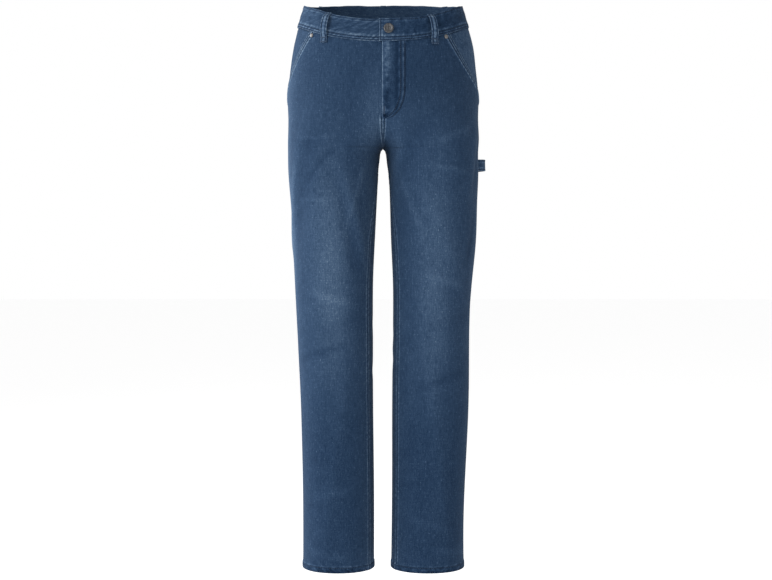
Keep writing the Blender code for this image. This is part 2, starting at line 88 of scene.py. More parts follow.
# Seam lines, as angles in radians
OUTSEAM_HIP = -0.05
OUTSEAM_LEG = -0.12
OUTSEAM_RUN = 200.0
INSEAM_LEAN = 0.42
INSEAM_LEAN_RUN = 190.0

# Yoke, slant pockets and back pockets
YOKE_SIDE = 35.0
YOKE_CENTRE = 70.0
YOKE_POWER = 1.2
YOKE_MEAN = 60.0
SLANT_TOP = {RIGHT: math.radians(36.5), LEFT: math.radians(44.5)}
SLANT_BOW = {RIGHT: 0.0, LEFT: 0.55}
SLANT_SHARE = 0.85
FACING_SINK = 3.0
FACING_UNDERLAP = 0.08
POCKET_ANGLE = -0.9
POCKET_TOP = -81.0
POCKET_WIDTH = 144.0
POCKET_FOOT_WIDTH = 126.0
POCKET_SIDE = 114.0
POCKET_POINT = 32.0
POCKET_WALL = 1.2
POCKET_LIFT = 0.75

# Fly
FLY_PAST_CENTRE = 1.3
FLY_WIDTH = 42.0
FLY_FOOT = -195.0
FLY_BEND = -140.0
FLY_FOOT_WIDTH = 6.0

# Belt loops and hammer loop
LOOP_WIDTH = 12.5
LOOP_WALL = 1.6
HAMMER_TOP = -267.5
HAMMER_HEIGHT = 21.5
HAMMER_ARCH = 2.0
HAMMER_WALL = 2.0
HAMMER_BULGE = 23.0
HAMMER_ENDS = (-0.10, -1.05)

# The form's half sections: how far out the side of each leg is from the middle plane, and
# where the front, the side and the back are from front to back.
Section = namedtuple("Section", "z outer_right outer_left front side back fullness")
SECTIONS = (
    Section(40, 139.5, 141.0, -94, 5, 104, 2.15),
    Section(10, 150.8, 151.5, -100, 6, 111, 2.15),
    Section(-24, 161.0, 161.5, -105, 8, 119, 2.2),
    Section(-58, 168.8, 170.6, -110, 10, 129, 2.2),
    Section(-96, 174.8, 175.8, -115, 12, 140, 2.2),
    Section(-150, 180.5, 181.0, -119, 14, 147, 2.3),
    Section(-193, 179.0, 180.3, -118, 12, 144, 2.4),
    Section(-232, 179.6, 181.8, -114, 8, 134, 2.45),
    Section(-250, 179.5, 180.2, -111, 5, 127.5, 2.4),
    Section(-287, 179.0, 180.2, -106, 1, 115, 2.3),
    Section(-344, 174.7, 178.3, -101, -3, 102, 2.15),
    Section(-420, 170.0, 176.0, -95, -6, 90, 2.1),
    Section(-496, 167.0, 168.8, -89, -7, 80, 2.1),
    Section(-572, 163.5, 164.2, -83, -6, 73, 2.1),
    Section(-648, 160.0, 163.7, -77, -3, 71, 2.1),
    Section(-725, 156.7, 163.2, -72, 0, 73, 2.1),
    Section(-802, 154.8, 160.5, -68.5, 3, 76.5, 2.1),
    Section(-879, 153.4, 156.9, -66, 5, 79, 2.1),
    Section(-960, 153.0, 154.4, -65, 6, 80, 2.1),
    Section(-1050, 153.3, 155.0, -65.5, 6, 80, 2.1),
)

# How far the inner side of each leg is from the middle plane, below the crotch.
LegGap = namedtuple("LegGap", "z right left")
LEG_GAPS = (
    LegGap(-240, 4.2, 4.2),
    LegGap(-268, 7.6, 7.8),
    LegGap(-306, 9.5, 11.2),
    LegGap(-344, 11.4, 13.0),
    LegGap(-420, 15.2, 15.2),
    LegGap(-496, 18.6, 18.6),
    LegGap(-572, 19.0, 19.0),
    LegGap(-725, 18.8, 17.4),
    LegGap(-879, 17.2, 17.2),
    LegGap(-1050, 17.2, 15.4),
)

# Soft folds of the cloth: each runs straight on the form between two places. A ridge has a
# positive depth and a trough a negative one. Angles are in degrees.
Fold = namedtuple("Fold", "angle_top z_top angle_foot z_foot width depth")
FOLDS = {
    RIGHT: (
        Fold(40, -262, 18, -400, 17, 2.2),
        Fold(62, -262, 40, -390, 17, -2.0),
        Fold(109, -322, 134, -425, 12, 2.4),
        Fold(95, -318, 118, -440, 14, -2.2),
        Fold(30, -226, 62, -236, 9, -1.6),
        Fold(50, -590, 120, -570, 16, -1.6),
        Fold(100, -720, 78, -930, 17, 1.6),
        Fold(-150, -262, -75, -292, 13, -3.4),
        Fold(-158, -285, -100, -330, 13, 2.6),
        Fold(-165, -310, -120, -372, 12, -2.4),
        Fold(-150, -585, -50, -606, 13, -3.0),
        Fold(-135, -622, -60, -640, 13, 2.0),
        Fold(-160, -664, -78, -650, 12, -2.4),
        Fold(-80, -760, -100, -960, 18, 1.8),
    ),
    LEFT: (
        Fold(14, -242, 24, -292, 11, -3.0),
        Fold(30, -236, 40, -310, 12, 1.8),
        Fold(135, -262, 104, -205, 11, 2.4),
        Fold(118, -262, 92, -215, 10, -2.0),
        Fold(96, -350, 60, -470, 18, 1.6),
        Fold(40, -560, 110, -600, 16, -1.6),
        Fold(90, -700, 70, -900, 17, 1.8),
        Fold(-150, -266, -80, -300, 14, -3.4),
        Fold(-160, -292, -105, -338, 13, 2.4),
        Fold(-164, -318, -118, -392, 12, -2.6),
        Fold(-152, -596, -60, -580, 13, -2.8),
        Fold(-140, -628, -50, -622, 14, 2.2),
        Fold(-158, -652, -72, -672, 12, -2.6),
        Fold(-95, -740, -72, -950, 18, 1.8),
    ),
}
MM_PER_DEGREE = 1.65
FOLD_FREE = 15.0
FOLD_TAPER = 3.0

# Small creases that the solids leave out.
CREASES = {
    RIGHT: (
        Fold(51, -229, 80, -229, 3, 0.7),
        Fold(49, -343, 81, -344, 3, 0.7),
        Fold(38, -293, 10, -425, 7, 1.5),
        Fold(86, -262, 66, -300, 6, -1.0),
        Fold(128, -300, 112, -372, 6, 1.1),
        Fold(70, -520, 108, -534, 8, 0.8),
        Fold(34, -640, 88, -622, 7, -0.9),
        Fold(60, -900, 112, -884, 8, 0.7),
        Fold(44, -1005, 96, -1016, 7, 0.8),
        Fold(-140, -248, -112, -206, 7, 1.3),
        Fold(-118, -262, -88, -232, 6, -1.0),
        Fold(-128, -352, -84, -338, 6, 1.1),
        Fold(-96, -560, -62, -572, 6, 1.0),
        Fold(-128, -690, -88, -702, 7, -1.0),
        Fold(-60, -860, -104, -872, 8, 0.8),
    ),
    LEFT: (
        Fold(44, -212, 78, -232, 6, 0.9),
        Fold(52, -292, 84, -283, 5, 0.9),
        Fold(130, -318, 108, -398, 7, 1.1),
        Fold(22, -350, 34, -430, 8, -1.1),
        Fold(58, -500, 104, -482, 7, 0.8),
        Fold(48, -668, 96, -690, 8, -0.8),
        Fold(70, -960, 106, -946, 8, 0.7),
        Fold(30, -1010, 72, -1002, 7, 0.8),
        Fold(-142, -244, -108, -204, 7, 1.3),
        Fold(-120, -268, -92, -240, 6, -1.0),
        Fold(-132, -362, -90, -352, 6, 1.1),
        Fold(-102, -552, -66, -556, 6, 1.0),
        Fold(-118, -700, -80, -690, 7, -1.0),
        Fold(-72, -888, -112, -876, 8, 0.8),
    ),
}


def smooth(share):
    """A soft step from 0 to 1."""
    share = np.clip(share, 0.0, 1.0)
    return share * share * (3 - 2 * share)


def hill(distance, width):
    """1 where the distance is 0, falling off softly over the width."""
    return np.exp(-((distance / width) ** 2))


def spline(heights, values):
    """The natural cubic spline through the values, as a function of height."""
    order = np.argsort(heights)
    knots = np.array(heights, float)[order]
    levels = np.array(values, float)[order]
    steps = np.diff(knots)
    slopes = np.diff(levels) / steps
    last = len(knots) - 1
    matrix = np.eye(last + 1)
    target = np.zeros(last + 1)
    for k in range(1, last):
        matrix[k, k - 1 : k + 2] = (steps[k - 1], 2 * (steps[k - 1] + steps[k]), steps[k])
        target[k] = 6 * (slopes[k] - slopes[k - 1])
    bends = np.linalg.solve(matrix, target)

    def value(height):
        height = np.clip(height, knots[0], knots[-1])
        k = np.clip(np.searchsorted(knots, height) - 1, 0, last - 1)
        above = (height - knots[k]) / steps[k]
        below = 1 - above
        bend = (below**3 - below) * bends[k] + (above**3 - above) * bends[k + 1]
        return below * levels[k] + above * levels[k + 1] + bend * steps[k] ** 2 / 6

    return value


def column(table, name):
    return spline([row.z for row in table], [getattr(row, name) for row in table])


OUTER = {RIGHT: column(SECTIONS, "outer_right"), LEFT: column(SECTIONS, "outer_left")}
INNER = {RIGHT: column(LEG_GAPS, "right"), LEFT: column(LEG_GAPS, "left")}
FRONT = column(SECTIONS, "front")
SIDE = column(SECTIONS, "side")
BACK = column(SECTIONS, "back")
FULLNESS = column(SECTIONS, "fullness")


def leg_span(side, z):
    """The centre and half width of a half section. Above the crotch it reaches past the middle."""
    outer = OUTER[side](z)
    closed = (1 - np.clip((z - CROTCH) / CROTCH_RISE, 0, 1)) ** CROTCH_POWER
    above = HALF_GAP - outer * (1 - closed) / (1 + closed)
    drop = np.maximum(CROTCH - z, 0)
    below = HALF_GAP + (INNER[side](z) - HALF_GAP) * (1 - np.exp(-drop / ARCH_HEIGHT))
    inner = np.where(z > CROTCH, above, below)
    return (outer + inner) / 2, (outer - inner) / 2


def bare_form(side, angle, z):
    """Points of the form with no folds."""
    centre, reach = leg_span(side, z)
    power = 2 / FULLNESS(z)
    across = np.sign(np.cos(angle)) * np.abs(np.cos(angle)) ** power
    along = np.abs(np.sin(angle)) ** power
    middle = SIDE(z)
    depth = np.where(np.sin(angle) > 0, FRONT(z), BACK(z)) - middle
    return np.stack([side * (centre + reach * across), middle + depth * along, z], axis=-1)


def form_normal(side, angle, z):
    turn = bare_form(side, angle + 0.004, z) - bare_form(side, angle - 0.004, z)
    rise = bare_form(side, angle, z + 0.5) - bare_form(side, angle, z - 0.5)
    normal = side * np.cross(rise, turn)
    return normal / np.linalg.norm(normal, axis=-1, keepdims=True)


def fold_height(side, angle, z, x, folds=FOLDS):
    """How far the folds lift the cloth. They fade out at the middle plane."""
    total = np.zeros(np.shape(z))
    degrees = np.degrees(angle)
    for fold in folds[side]:
        across = ((degrees - fold.angle_top + 180) % 360 - 180) * MM_PER_DEGREE
        down = z - fold.z_top
        run_across = (fold.angle_foot - fold.angle_top) * MM_PER_DEGREE
        run_down = fold.z_foot - fold.z_top
        length = math.hypot(run_across, run_down)
        along = (across * run_across + down * run_down) / length
        beside = (across * run_down - down * run_across) / length
        beyond = (np.abs(along - length / 2) - length / 2).clip(0) / FOLD_TAPER
        total += fold.depth * np.exp(-(beside**2 + beyond**2) / fold.width**2)
    return total * smooth(np.abs(x) / FOLD_FREE)


def cloth(side, angle, z, lift):
    """Points at a height above the folded form, along its normal."""
    angle, z = np.broadcast_arrays(np.asarray(angle, float), np.asarray(z, float))
    base = bare_form(side, angle, z)
    height = fold_height(side, angle, z, base[..., 0]) + lift
    return base + form_normal(side, angle, z) * height[..., None]


def waist_seam(angle):
    """The height of the seam under the waistband: low in front, high at the back."""
    depth = np.abs(np.sin(angle))
    back = BACK_RISE * depth**BACK_RISE_POWER
    rise = np.where(np.sin(angle) > 0, -FRONT_DIP * depth**2, back)
    return SIDE_TOP - BAND_HEIGHT + rise


def angle_at(side, z, x):
    """The angle at which a half section is this far from the middle plane."""
    centre, reach = leg_span(side, z)
    across = np.clip((x - centre) / reach, -1, 1)
    return np.arccos(np.sign(across) * np.abs(across) ** (FULLNESS(z) / 2))


def middle_angle(side, z):
    """The angle at which a half section meets the middle plane, or pi below the crotch."""
    return angle_at(side, z, HALF_GAP)


def gap_angle(z):
    """Half a seam's gap, as an angle about the leg."""
    return HALF_GAP / ((BACK(z) - FRONT(z)) / 2)


def inseam_angle(z):
    return math.pi - INSEAM_LEAN * smooth((CROTCH - z) / INSEAM_LEAN_RUN)


def outseam_angle(z):
    return OUTSEAM_HIP + (OUTSEAM_LEG - OUTSEAM_HIP) * smooth((BLOCK_END - z) / OUTSEAM_RUN)


def outseam_front(side, z):
    return outseam_angle(z) + gap_angle(z)


def outseam_back(side, z):
    return outseam_angle(z) - gap_angle(z)


def front_middle(side, z):
    return np.where(z > CROTCH, middle_angle(side, z), inseam_angle(z) - gap_angle(z))


def back_middle(side, z):
    below = inseam_angle(z) + gap_angle(z) - 2 * math.pi
    return np.where(z > CROTCH, -middle_angle(side, z), below)


def block_height(angle, share):
    """Heights from the waist seam (0) to the level line at the end of the block (1)."""
    return waist_seam(angle) * (1 - share) + BLOCK_END * share


SLANT_FOOT = float(block_height(OUTSEAM_HIP, SLANT_SHARE))


def slant_angle(side, z):
    """The edge of the slant pocket's opening, which meets the outseam at its foot."""
    top = SLANT_TOP[side]
    foot = outseam_front(side, z)
    share = np.maximum((z - SLANT_FOOT) / (waist_seam(top) - SLANT_FOOT), 0)
    return foot + (top - foot) * (share + SLANT_BOW[side] * share * (1 - share))


def yoke_share(angle):
    depth = YOKE_SIDE + (YOKE_CENTRE - YOKE_SIDE) * np.abs(np.sin(angle)) ** YOKE_POWER
    return depth / (waist_seam(angle) - BLOCK_END)


def front_row(share):
    return lambda angle: block_height(angle, share) - BAND_GAP * (share == 0)


def yoke_row(share):
    def height(angle):
        gaps = HALF_GAP * (share == 1) - BAND_GAP * (share == 0)
        return block_height(angle, yoke_share(angle) * share) + gaps

    return height


def back_row(share):
    def height(angle):
        edge = yoke_share(angle)
        return block_height(angle, edge + (1 - edge) * share) - HALF_GAP * (share == 0)

    return height


def level_row(z):
    return lambda angle: np.full(np.shape(angle), float(z))


def hem_lift(z):
    """The rolled hem is thicker than the leg."""
    full = HEM_PROUD * smooth((HEM + HEM_DEPTH + HEM_STEP - z) / HEM_STEP)
    return np.where(z <= HEM, HEM_END_SHARE * full, full)


# Sheets of cloth
def lengths(points, axis):
    """Distances along the rows (axis 1) or columns (axis 0) of a grid of points."""
    steps = np.linalg.norm(np.diff(points, axis=axis), axis=-1)
    start = np.zeros_like(np.take(steps, [0], axis=axis))
    return np.concatenate([start, np.cumsum(steps, axis=axis)], axis=axis)


class Sheet:
    """A grid of points of cloth, with the distances to its four edges and what is done to it:
    how far the outer face is lifted, how pale it is rubbed and how it is paled or darkened by
    painted light and shade, and how blotchy it is."""

    def __init__(self, surface, wall=WALL):
        self.base = surface(0.0)
        self.up = surface(1.0) - self.base
        across, down = lengths(self.base, 1), lengths(self.base, 0)
        self.first, self.last = across, across[:, -1:] - across
        self.top, self.foot = down, down[-1:] - down
        self.lift = np.zeros(across.shape)
        self.wear = np.zeros(across.shape)
        self.blotch = np.zeros(across.shape)
        self.wall = wall
        self.grain = (across - across[:, across.shape[1] // 2][:, None], down)

    @property
    def outer(self):
        return self.base + self.up * self.lift[..., None]

    def line(self, edge, offset):
        """The points and normals of the line that lies at a distance from an edge."""
        distance = getattr(self, edge)
        values = np.concatenate([self.outer, self.up], axis=-1)
        if edge in ("top", "foot"):
            distance, values = distance.T, values.transpose(1, 0, 2)
        if edge in ("last", "foot"):
            distance, values = distance[:, ::-1], values[:, ::-1]
        found = [
            [np.interp(offset, places, column) for column in line.T]
            for places, line in zip(distance, values)
        ]
        found = np.array(found)
        return found[:, :3], found[:, 3:]


# How seams look: how far the raised band reaches and stands proud, the distances of the stitch
# rows, the puckers' height, pitch and slant, how much it is paled by abrasion and darkened by
# painted shade in its sunk rows, and the groove at the edge.
Seam = namedtuple("Seam", "reach proud rows pucker pitch slant wear groove")
FELLED = Seam(9.5, 0.7, (1.8, 7.4), 0.25, 9.0, 0.0, 0.30, 0.5)
CENTRE = Seam(5.6, 1.2, (3.4,), 0.12, 8.0, 0.0, 0.48, 0.0)
INSEAM = Seam(12.5, 0.8, (3.0, 10.0), 0.2, 9.0, 0.0, 0.40, 0.5)
UNDERLYING = Seam(5.0, 0.0, (), 0.15, 9.0, 0.0, 0.08, 0.4)
POCKET_EDGE = Seam(12.0, 1.1, (2.4, 7.8), 0.28, 8.0, 0.5, 0.66, 0.0)
BAND_FOOT = Seam(8.5, 0.4, (2.0, 6.6), 0.28, 8.5, 0.6, 0.44, 0.4)
BAND_TOP = Seam(6.0, 0.2, (2.4,), 0.22, 10.0, -0.5, 0.28, 0.3)
UNDER_BAND = Seam(8.0, 0.2, (), 0.35, 8.5, 0.3, 0.05, 0.5)
PATCH_EDGE = Seam(9.5, 0.5, (1.8, 7.4), 0.2, 8.0, 0.4, 0.34, 0.3)
PATCH_TOP = Seam(20.0, 0.45, (2.2, 15.0), 0.2, 11.0, 0.2, 0.30, 0.3)
STRAP_EDGE = Seam(3.5, 0.3, (2.6,), 0.12, 7.0, 0.4, 0.40, 0.2)
HEM_ROLL = Seam(12.0, 0.0, (9.8,), 0.5, 9.5, 1.3, 0.24, 0.3)
# At the seat seam the left back lies over the right one.
SEAT = {
    LEFT: Seam(9.5, 0.7, (1.8, 7.4), 0.25, 9.0, 0.0, 0.30, 0.0),
    RIGHT: Seam(5.0, 0.0, (), 0.15, 9.0, 0.0, 0.08, 0.0),
}
ROW_WIDTH = 1.0
PALE_PAST_ROW = 2.4


def sew_edge(sheet, edge, seam, where=1.0, shift=0.0):
    """Raises a seam's band along an edge, with sunk stitch rows darkened by painted shade, puckers
    and pale spots rubbed by use.
    """
    distance = getattr(sheet, edge)
    along = sheet.top if edge in ("first", "last") else sheet.first
    along = along + 7 * shift
    phase = 2 * math.pi * (along + seam.slant * distance) / seam.pitch
    wander = 2.4 * np.sin(along / 31 + shift) + 1.3 * np.sin(along / 13.7 + 2 * shift)
    wave = np.sin(phase + wander) * (0.35 + 0.65 * np.sin(along / 43 + 2 * shift) ** 2)
    near = hill(distance - 0.5 * seam.reach, seam.reach)
    lift = seam.proud * (1 - smooth((distance - seam.reach + 1) / 2)) + seam.pucker * wave * near
    crest = 0.75 + 0.25 * wave
    pale = 0.9 * hill(distance, 1.6) * crest + 0.3 * near * np.clip(wave, 0, 1)
    for row in seam.rows:
        at_row = hill(distance - row, ROW_WIDTH)
        lift -= 0.35 * at_row
        # Beside each row the cloth is paled by abrasion; in the sunk row itself it is painted darker
        # as shade.
        pale += 0.85 * hill(distance - row - PALE_PAST_ROW, 1.2) * crest - 1.2 * at_row
    lift -= seam.groove * (1 - np.clip(distance / 1.3, 0, 1)) ** 2
    sheet.lift += lift * where
    sheet.wear += seam.wear * where * pale
    sheet.blotch = np.maximum(sheet.blotch, near * where * 0.35)


def new_mesh(name, points, faces, materials):
    mesh = bpy.data.meshes.new(name)
    mesh.from_pydata((points * MM).tolist(), [], faces)
    for material in materials:
        mesh.materials.append(material)
    mesh.shade_smooth()
    return mesh


def closed_mesh(name, sheet, inner, materials):
    """The outer and the inner face of a sheet, joined all round. The inner one has the second
    material."""
    rows, columns = inner.shape[:2]
    index = np.arange(rows * columns).reshape(rows, columns)
    corners = index[:-1, :-1], index[:-1, 1:], index[1:, 1:], index[1:, :-1]
    quads = np.stack(corners, axis=-1).reshape(-1, 4)
    rim = np.concatenate([index[0], index[1:, -1], index[-1, -2::-1], index[-2:0:-1, 0]])
    following = np.roll(rim, -1)
    under = rows * columns
    edge = np.stack([following, rim, rim + under, following + under], axis=-1)
    faces = np.concatenate([quads, quads[:, ::-1] + under, edge])
    outer = sheet.outer
    start = outer[:-1, :-1]
    facing = np.cross(outer[:-1, 1:] - start, outer[1:, :-1] - start)
    if np.sum(facing * sheet.up[:-1, :-1]) < 0:
        faces = faces[:, ::-1]
    points = np.concatenate([outer.reshape(-1, 3), inner.reshape(-1, 3)])
    mesh = new_mesh(name, points, faces.tolist(), materials)
    slots = np.repeat([0, 1, 0], [len(quads), len(quads), len(edge)])
    mesh.polygons.foreach_set("material_index", slots)
    return mesh


# How far each piece's grain is moved from the last one's, across and down, in metres.
GRAIN_SHIFT = (0.37, 0.53)


def set_attributes(mesh, sheet, shift):
    """Gives both faces the abrasion and the painted light and shade, the blotches and the place on
    the cloth of each point.
    """
    for word in ("wear", "blotch"):
        values = np.tile(getattr(sheet, word).reshape(-1), 2)
        layer = mesh.attributes.new(word, "FLOAT", "POINT")
        layer.data.foreach_set("value", values.astype(np.float32))
    places = np.stack([np.tile(part.reshape(-1) * MM, 2) for part in sheet.grain], axis=-1)
    places += np.array(GRAIN_SHIFT) * shift
    corner = np.empty(len(mesh.loops), np.int32)
    mesh.loops.foreach_get("vertex_index", corner)
    layer = mesh.uv_layers.new(name="cloth")
    layer.data.foreach_set("uv", places[corner].reshape(-1).astype(np.float32))


# The size each piece of cloth was cut to, in metres: what shows of it, without the parts
# turned in or hidden in the seams.
Cut = namedtuple("Cut", "width length area")
CUTS = {
    "front_right": Cut(0.350, 1.084, 0.2291),
    "front_left": Cut(0.352, 1.084, 0.2288),
    "back_right": Cut(0.335, 1.074, 0.2614),
    "back_left": Cut(0.336, 1.074, 0.2638),
    "yoke_right": Cut(0.230, 0.073, 0.0131),
    "yoke_left": Cut(0.231, 0.073, 0.0132),
    "pocket_facing_right": Cut(0.096, 0.159, 0.0088),
    "pocket_facing_left": Cut(0.115, 0.166, 0.0116),
    "back_pocket_right": Cut(0.146, 0.153, 0.0181),
    "back_pocket_left": Cut(0.146, 0.153, 0.0181),
    "waistband": Cut(0.938, 0.044, 0.0376),
    "fly": Cut(0.044, 0.162, 0.0058),
    "loop_front_right": Cut(0.0135, 0.0605, 0.00077),
    "loop_front_left": Cut(0.0135, 0.0605, 0.00076),
    "loop_back_right": Cut(0.0135, 0.0615, 0.00080),
    "loop_back_left": Cut(0.0135, 0.0615, 0.00080),
    "loop_centre": Cut(0.012, 0.060, 0.00068),
    "hammer_loop": Cut(0.128, 0.022, 0.00275),
}


def show(name, mesh, slot, *nodes):
    """A piece of the scene, which rides on the one body and stands for these nodes."""
    item = bpy.data.objects.new(name, mesh)
    bpy.context.scene.collection.objects.link(item)
    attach(item, "root")
    if nodes:
        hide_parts(*nodes)
    return item


THINNEST = 0.25


def make_sheet(sheets, name, sheet, materials, inner_lift=None):
    """Turns a sheet into a closed thin shell that stands for the node of the same name."""
    if inner_lift is None:
        inner_lift = -sheet.wall + 0.35 * sheet.lift
    inner_lift = np.minimum(inner_lift, sheet.lift - THINNEST)
    inner = sheet.base + sheet.up * inner_lift[..., None]
    mesh = closed_mesh(name, sheet, inner, materials)
    set_attributes(mesh, sheet, len(sheets))
    item = show(name + "_cloth", mesh, "denim", name)
    cut = CUTS[name]
    sheets[name] = sheet


# Panels: the legs and the yokes
EDGE_STEPS = np.array(
    (0, 0.5, 1.1, 1.8, 2.6, 3.6, 4.6, 5.6, 6.6, 7.4, 8.2, 9.2, 10.6, 12.6, 15.5)
)
TOP_STEPS = (0, 0.6, 1.3, 2.1, 3.0, 4.0, 5.2, 6.6, 8.2, 10, 12.5, 15.5)

# The yarns run down beside this line on the panel, at this distance from the middle plane.
GRAIN_LINE = 96.0
FOLD_WEAR = 0.02
CREASE_WEAR = 0.09


def meet(side, height, edge):
    """The angle at which a row of a panel meets an edge, found by going back and forth."""
    angle = np.array(0.5 if edge in (slant_angle, outseam_front, front_middle) else -0.5)
    for _ in range(12):
        angle = edge(side, height(angle))
    return float(angle)


def row_angles(side, height, edges, middle):
    """The angles of a row's points: close together at its edges, with some between."""
    start, end = (meet(side, height, edge) for edge in edges)
    dense = np.linspace(start, end, 160)
    track = lengths(bare_form(side, dense, height(dense)), 0)
    steps = EDGE_STEPS
    between = np.linspace(steps[-1], track[-1] - steps[-1], middle + 2)[1:-1]
    wanted = np.concatenate([steps, between, track[-1] - steps[::-1]])
    return np.interp(wanted, track, dense)


def panel_sheet(side, rows, edges, middle):
    """A panel between two edges, with its small creases and their wear."""
    angles = np.array([row_angles(side, height, edges, middle) for height in rows])
    heights = np.array([height(angle) for height, angle in zip(rows, angles)])
    sheet = Sheet(lambda lift: cloth(side, angles, heights, lift))
    sheet.angles, sheet.heights = angles, heights
    x = side * sheet.base[..., 0]
    folds, creases = (fold_height(side, angles, heights, x, table) for table in (FOLDS, CREASES))
    sheet.lift += creases
    sheet.wear += FOLD_WEAR * folds + CREASE_WEAR * creases
    lines = [np.interp(GRAIN_LINE, row[::-1], track[::-1]) for row, track in zip(x, sheet.first)]
    sheet.grain = (sheet.first - np.array(lines)[:, None], -heights)
    return sheet


def level_heights():
    """Level rows: closer together about the crotch and over the rolled hem."""
    above = np.linspace(53, 12, 13)
    middle = (9, 6.5, 4.6, 3.2, 2, 1, 0, -1, -2.2, -3.6, -5.4, -7.8, -11, -14.5)
    below = np.linspace(-18, -116, 28)
    crotch = CROTCH + np.concatenate([above, middle, below])
    leg = np.linspace(crotch[-1], HEM + HEM_DEPTH + 3, 168)[1:]
    hem = HEM + np.array((12.6, 11.4, 10.2, 9, 7.8, 6.6, 5.4, 4.2, 3, 1.9, 0.9, 0.3, 0))
    return np.concatenate([crotch, leg, hem])


def block_shares(depth, rows):
    """Shares from a seam at the top to the foot of a block, closer together at the top."""
    near = [step / depth for step in TOP_STEPS]
    return near + list(np.linspace(near[-1], 1, rows + 1))[1:]


# The wash's pale spots and a dark spot of painted shade where the legs meet, by their distance
# from the middle plane and height; the paler stretch beside the outseam of each leg, a painted
# highlight with some abrasion; and how much painted light pales the inner side of each leg.
Spot = namedtuple("Spot", "x z wide high wear")
KNEE = Spot(92, -600, 40, 120, 0.10)
FRONT_SPOTS = {
    RIGHT: (Spot(98, -420, 42, 190, 0.24), KNEE),
    LEFT: (Spot(98, -420, 42, 190, 0.17), KNEE),
}
BACK_SPOTS = (Spot(95, -190, 55, 90, 0.13), Spot(92, -430, 50, 200, 0.08))
# Painted shade where the legs meet at the crotch.
CROTCH_SHADE = Spot(0, CROTCH, 12, 15, -0.22)
# A painted highlight beside the outseam of each leg's front, with some abrasion, strongest on the
# wearer's right.
OuterHighlightAndWear = namedtuple("OuterHighlightAndWear", "angle spread z run wear")
OUTER_HIGHLIGHT_AND_WEAR = {
    RIGHT: OuterHighlightAndWear(0.22, 0.24, -340, 240, 0.26),
    LEFT: OuterHighlightAndWear(0.15, 0.30, -340, 260, 0.08),
}
# Painted light that lifts the inner side of each leg out of the shade it falls in.
INNER_PAINTED_LIGHT = {RIGHT: 0.16, LEFT: 0.03}


def spot_wash_and_shade(x, z, *spots):
    return sum(s.wear * hill(x - s.x, s.wide) * hill(z - s.z, s.high) for s in spots)


def fade_panel(sheet, side, front):
    """Pale on the front of the thighs and knees from the wash, darker low down and high on the
    wearer's left, with painted shade between the legs, a painted highlight beside the outseam and
    painted light on the inner side of each leg.
    """
    x, z = side * sheet.base[..., 0], sheet.base[..., 2]
    facing = np.abs(np.sin(sheet.angles)) ** 1.5
    spots = FRONT_SPOTS[side] if front else BACK_SPOTS
    sheet.wear += spot_wash_and_shade(x, z, *spots) * (0.5 + 0.5 * facing)
    if front:
        # Painted highlight beside the outseam, with some abrasion.
        outer = OUTER_HIGHLIGHT_AND_WEAR[side]
        beside = hill(sheet.angles - outer.angle, outer.spread)
        sheet.wear += outer.wear * beside * hill(z - outer.z, outer.run)
        # Painted shade at the crotch.
        sheet.wear += spot_wash_and_shade(x, z, CROTCH_SHADE)
    # Darker high on the wearer's left side.
    if side == LEFT:
        sheet.wear -= 0.03 * smooth((z + 200) / 80)
    # Painted light on the inner side of each leg.
    sheet.wear += INNER_PAINTED_LIGHT[side] * smooth((60 - x) / 50) * smooth((-60 - z) / 150)
    sheet.wear -= 0.05 * smooth((-640 - z) / 200)
    sheet.wear += 0.02 * smooth((HEM + 60 - z) / 60)
    sheet.blotch += 0.4 * smooth((HEM + HEM_DEPTH + 4 - z) / 4)
    twist = 0.5 + 0.5 * np.sin(2 * math.pi * (sheet.first + 1.3 * sheet.foot) / HEM_ROLL.pitch)
    sheet.wear -= (0.12 + 0.26 * twist) * hill(sheet.foot, 5)


def below_crotch(z):
    return smooth((CROTCH - z) / 30)


def front_panel(side, rows):
    sheet = panel_sheet(side, rows, (slant_angle, front_middle), 54)
    z = sheet.heights
    slant, leg = smooth((z - SLANT_FOOT + 2) / 4), below_crotch(z)
    sheet.lift += hem_lift(z)
    sew_edge(sheet, "first", POCKET_EDGE, slant, shift=side)
    sew_edge(sheet, "first", UNDERLYING, 1 - slant, shift=5)
    sew_edge(sheet, "last", CENTRE, (1 - leg) * smooth((-188 - z) / 6), shift=2)
    sew_edge(sheet, "last", INSEAM, leg, shift=side + 3)
    sew_edge(sheet, "top", UNDER_BAND, shift=side)
    sew_edge(sheet, "foot", HEM_ROLL, smooth((HEM + 40 - z) / 4), shift=side)
    fade_panel(sheet, side, True)
    return sheet


def back_panel(side, rows):
    sheet = panel_sheet(side, rows, (outseam_back, back_middle), 62)
    z = sheet.heights
    leg = below_crotch(z)
    sheet.lift += hem_lift(z)
    sew_edge(sheet, "first", FELLED, shift=side)
    sew_edge(sheet, "last", SEAT[side], 1 - leg, shift=4)
    sew_edge(sheet, "last", UNDERLYING, leg, shift=side + 3)
    sheet.wear -= 0.14 * leg * hill(sheet.last, 12)
    sew_edge(sheet, "top", UNDERLYING, shift=side)
    sew_edge(sheet, "foot", HEM_ROLL, smooth((HEM + 40 - z) / 4), shift=side + 1)
    fade_panel(sheet, side, False)
    return sheet


def yoke_panel(side, rows):
    sheet = panel_sheet(side, rows, (outseam_back, back_middle), 62)
    sew_edge(sheet, "first", FELLED, shift=side)
    sew_edge(sheet, "last", SEAT[side], shift=4)
    sew_edge(sheet, "top", UNDER_BAND, shift=side)
    sew_edge(sheet, "foot", FELLED, shift=side)
    return sheet


# The facing ends just above the opening's foot, so that its last row still has a width.
FACING_SHARE = SLANT_SHARE - 0.002
# Painted light that lifts each facing out of the shade of its sunk place.
FACING_PAINTED_LIGHT = {RIGHT: 0.06, LEFT: 0.14}


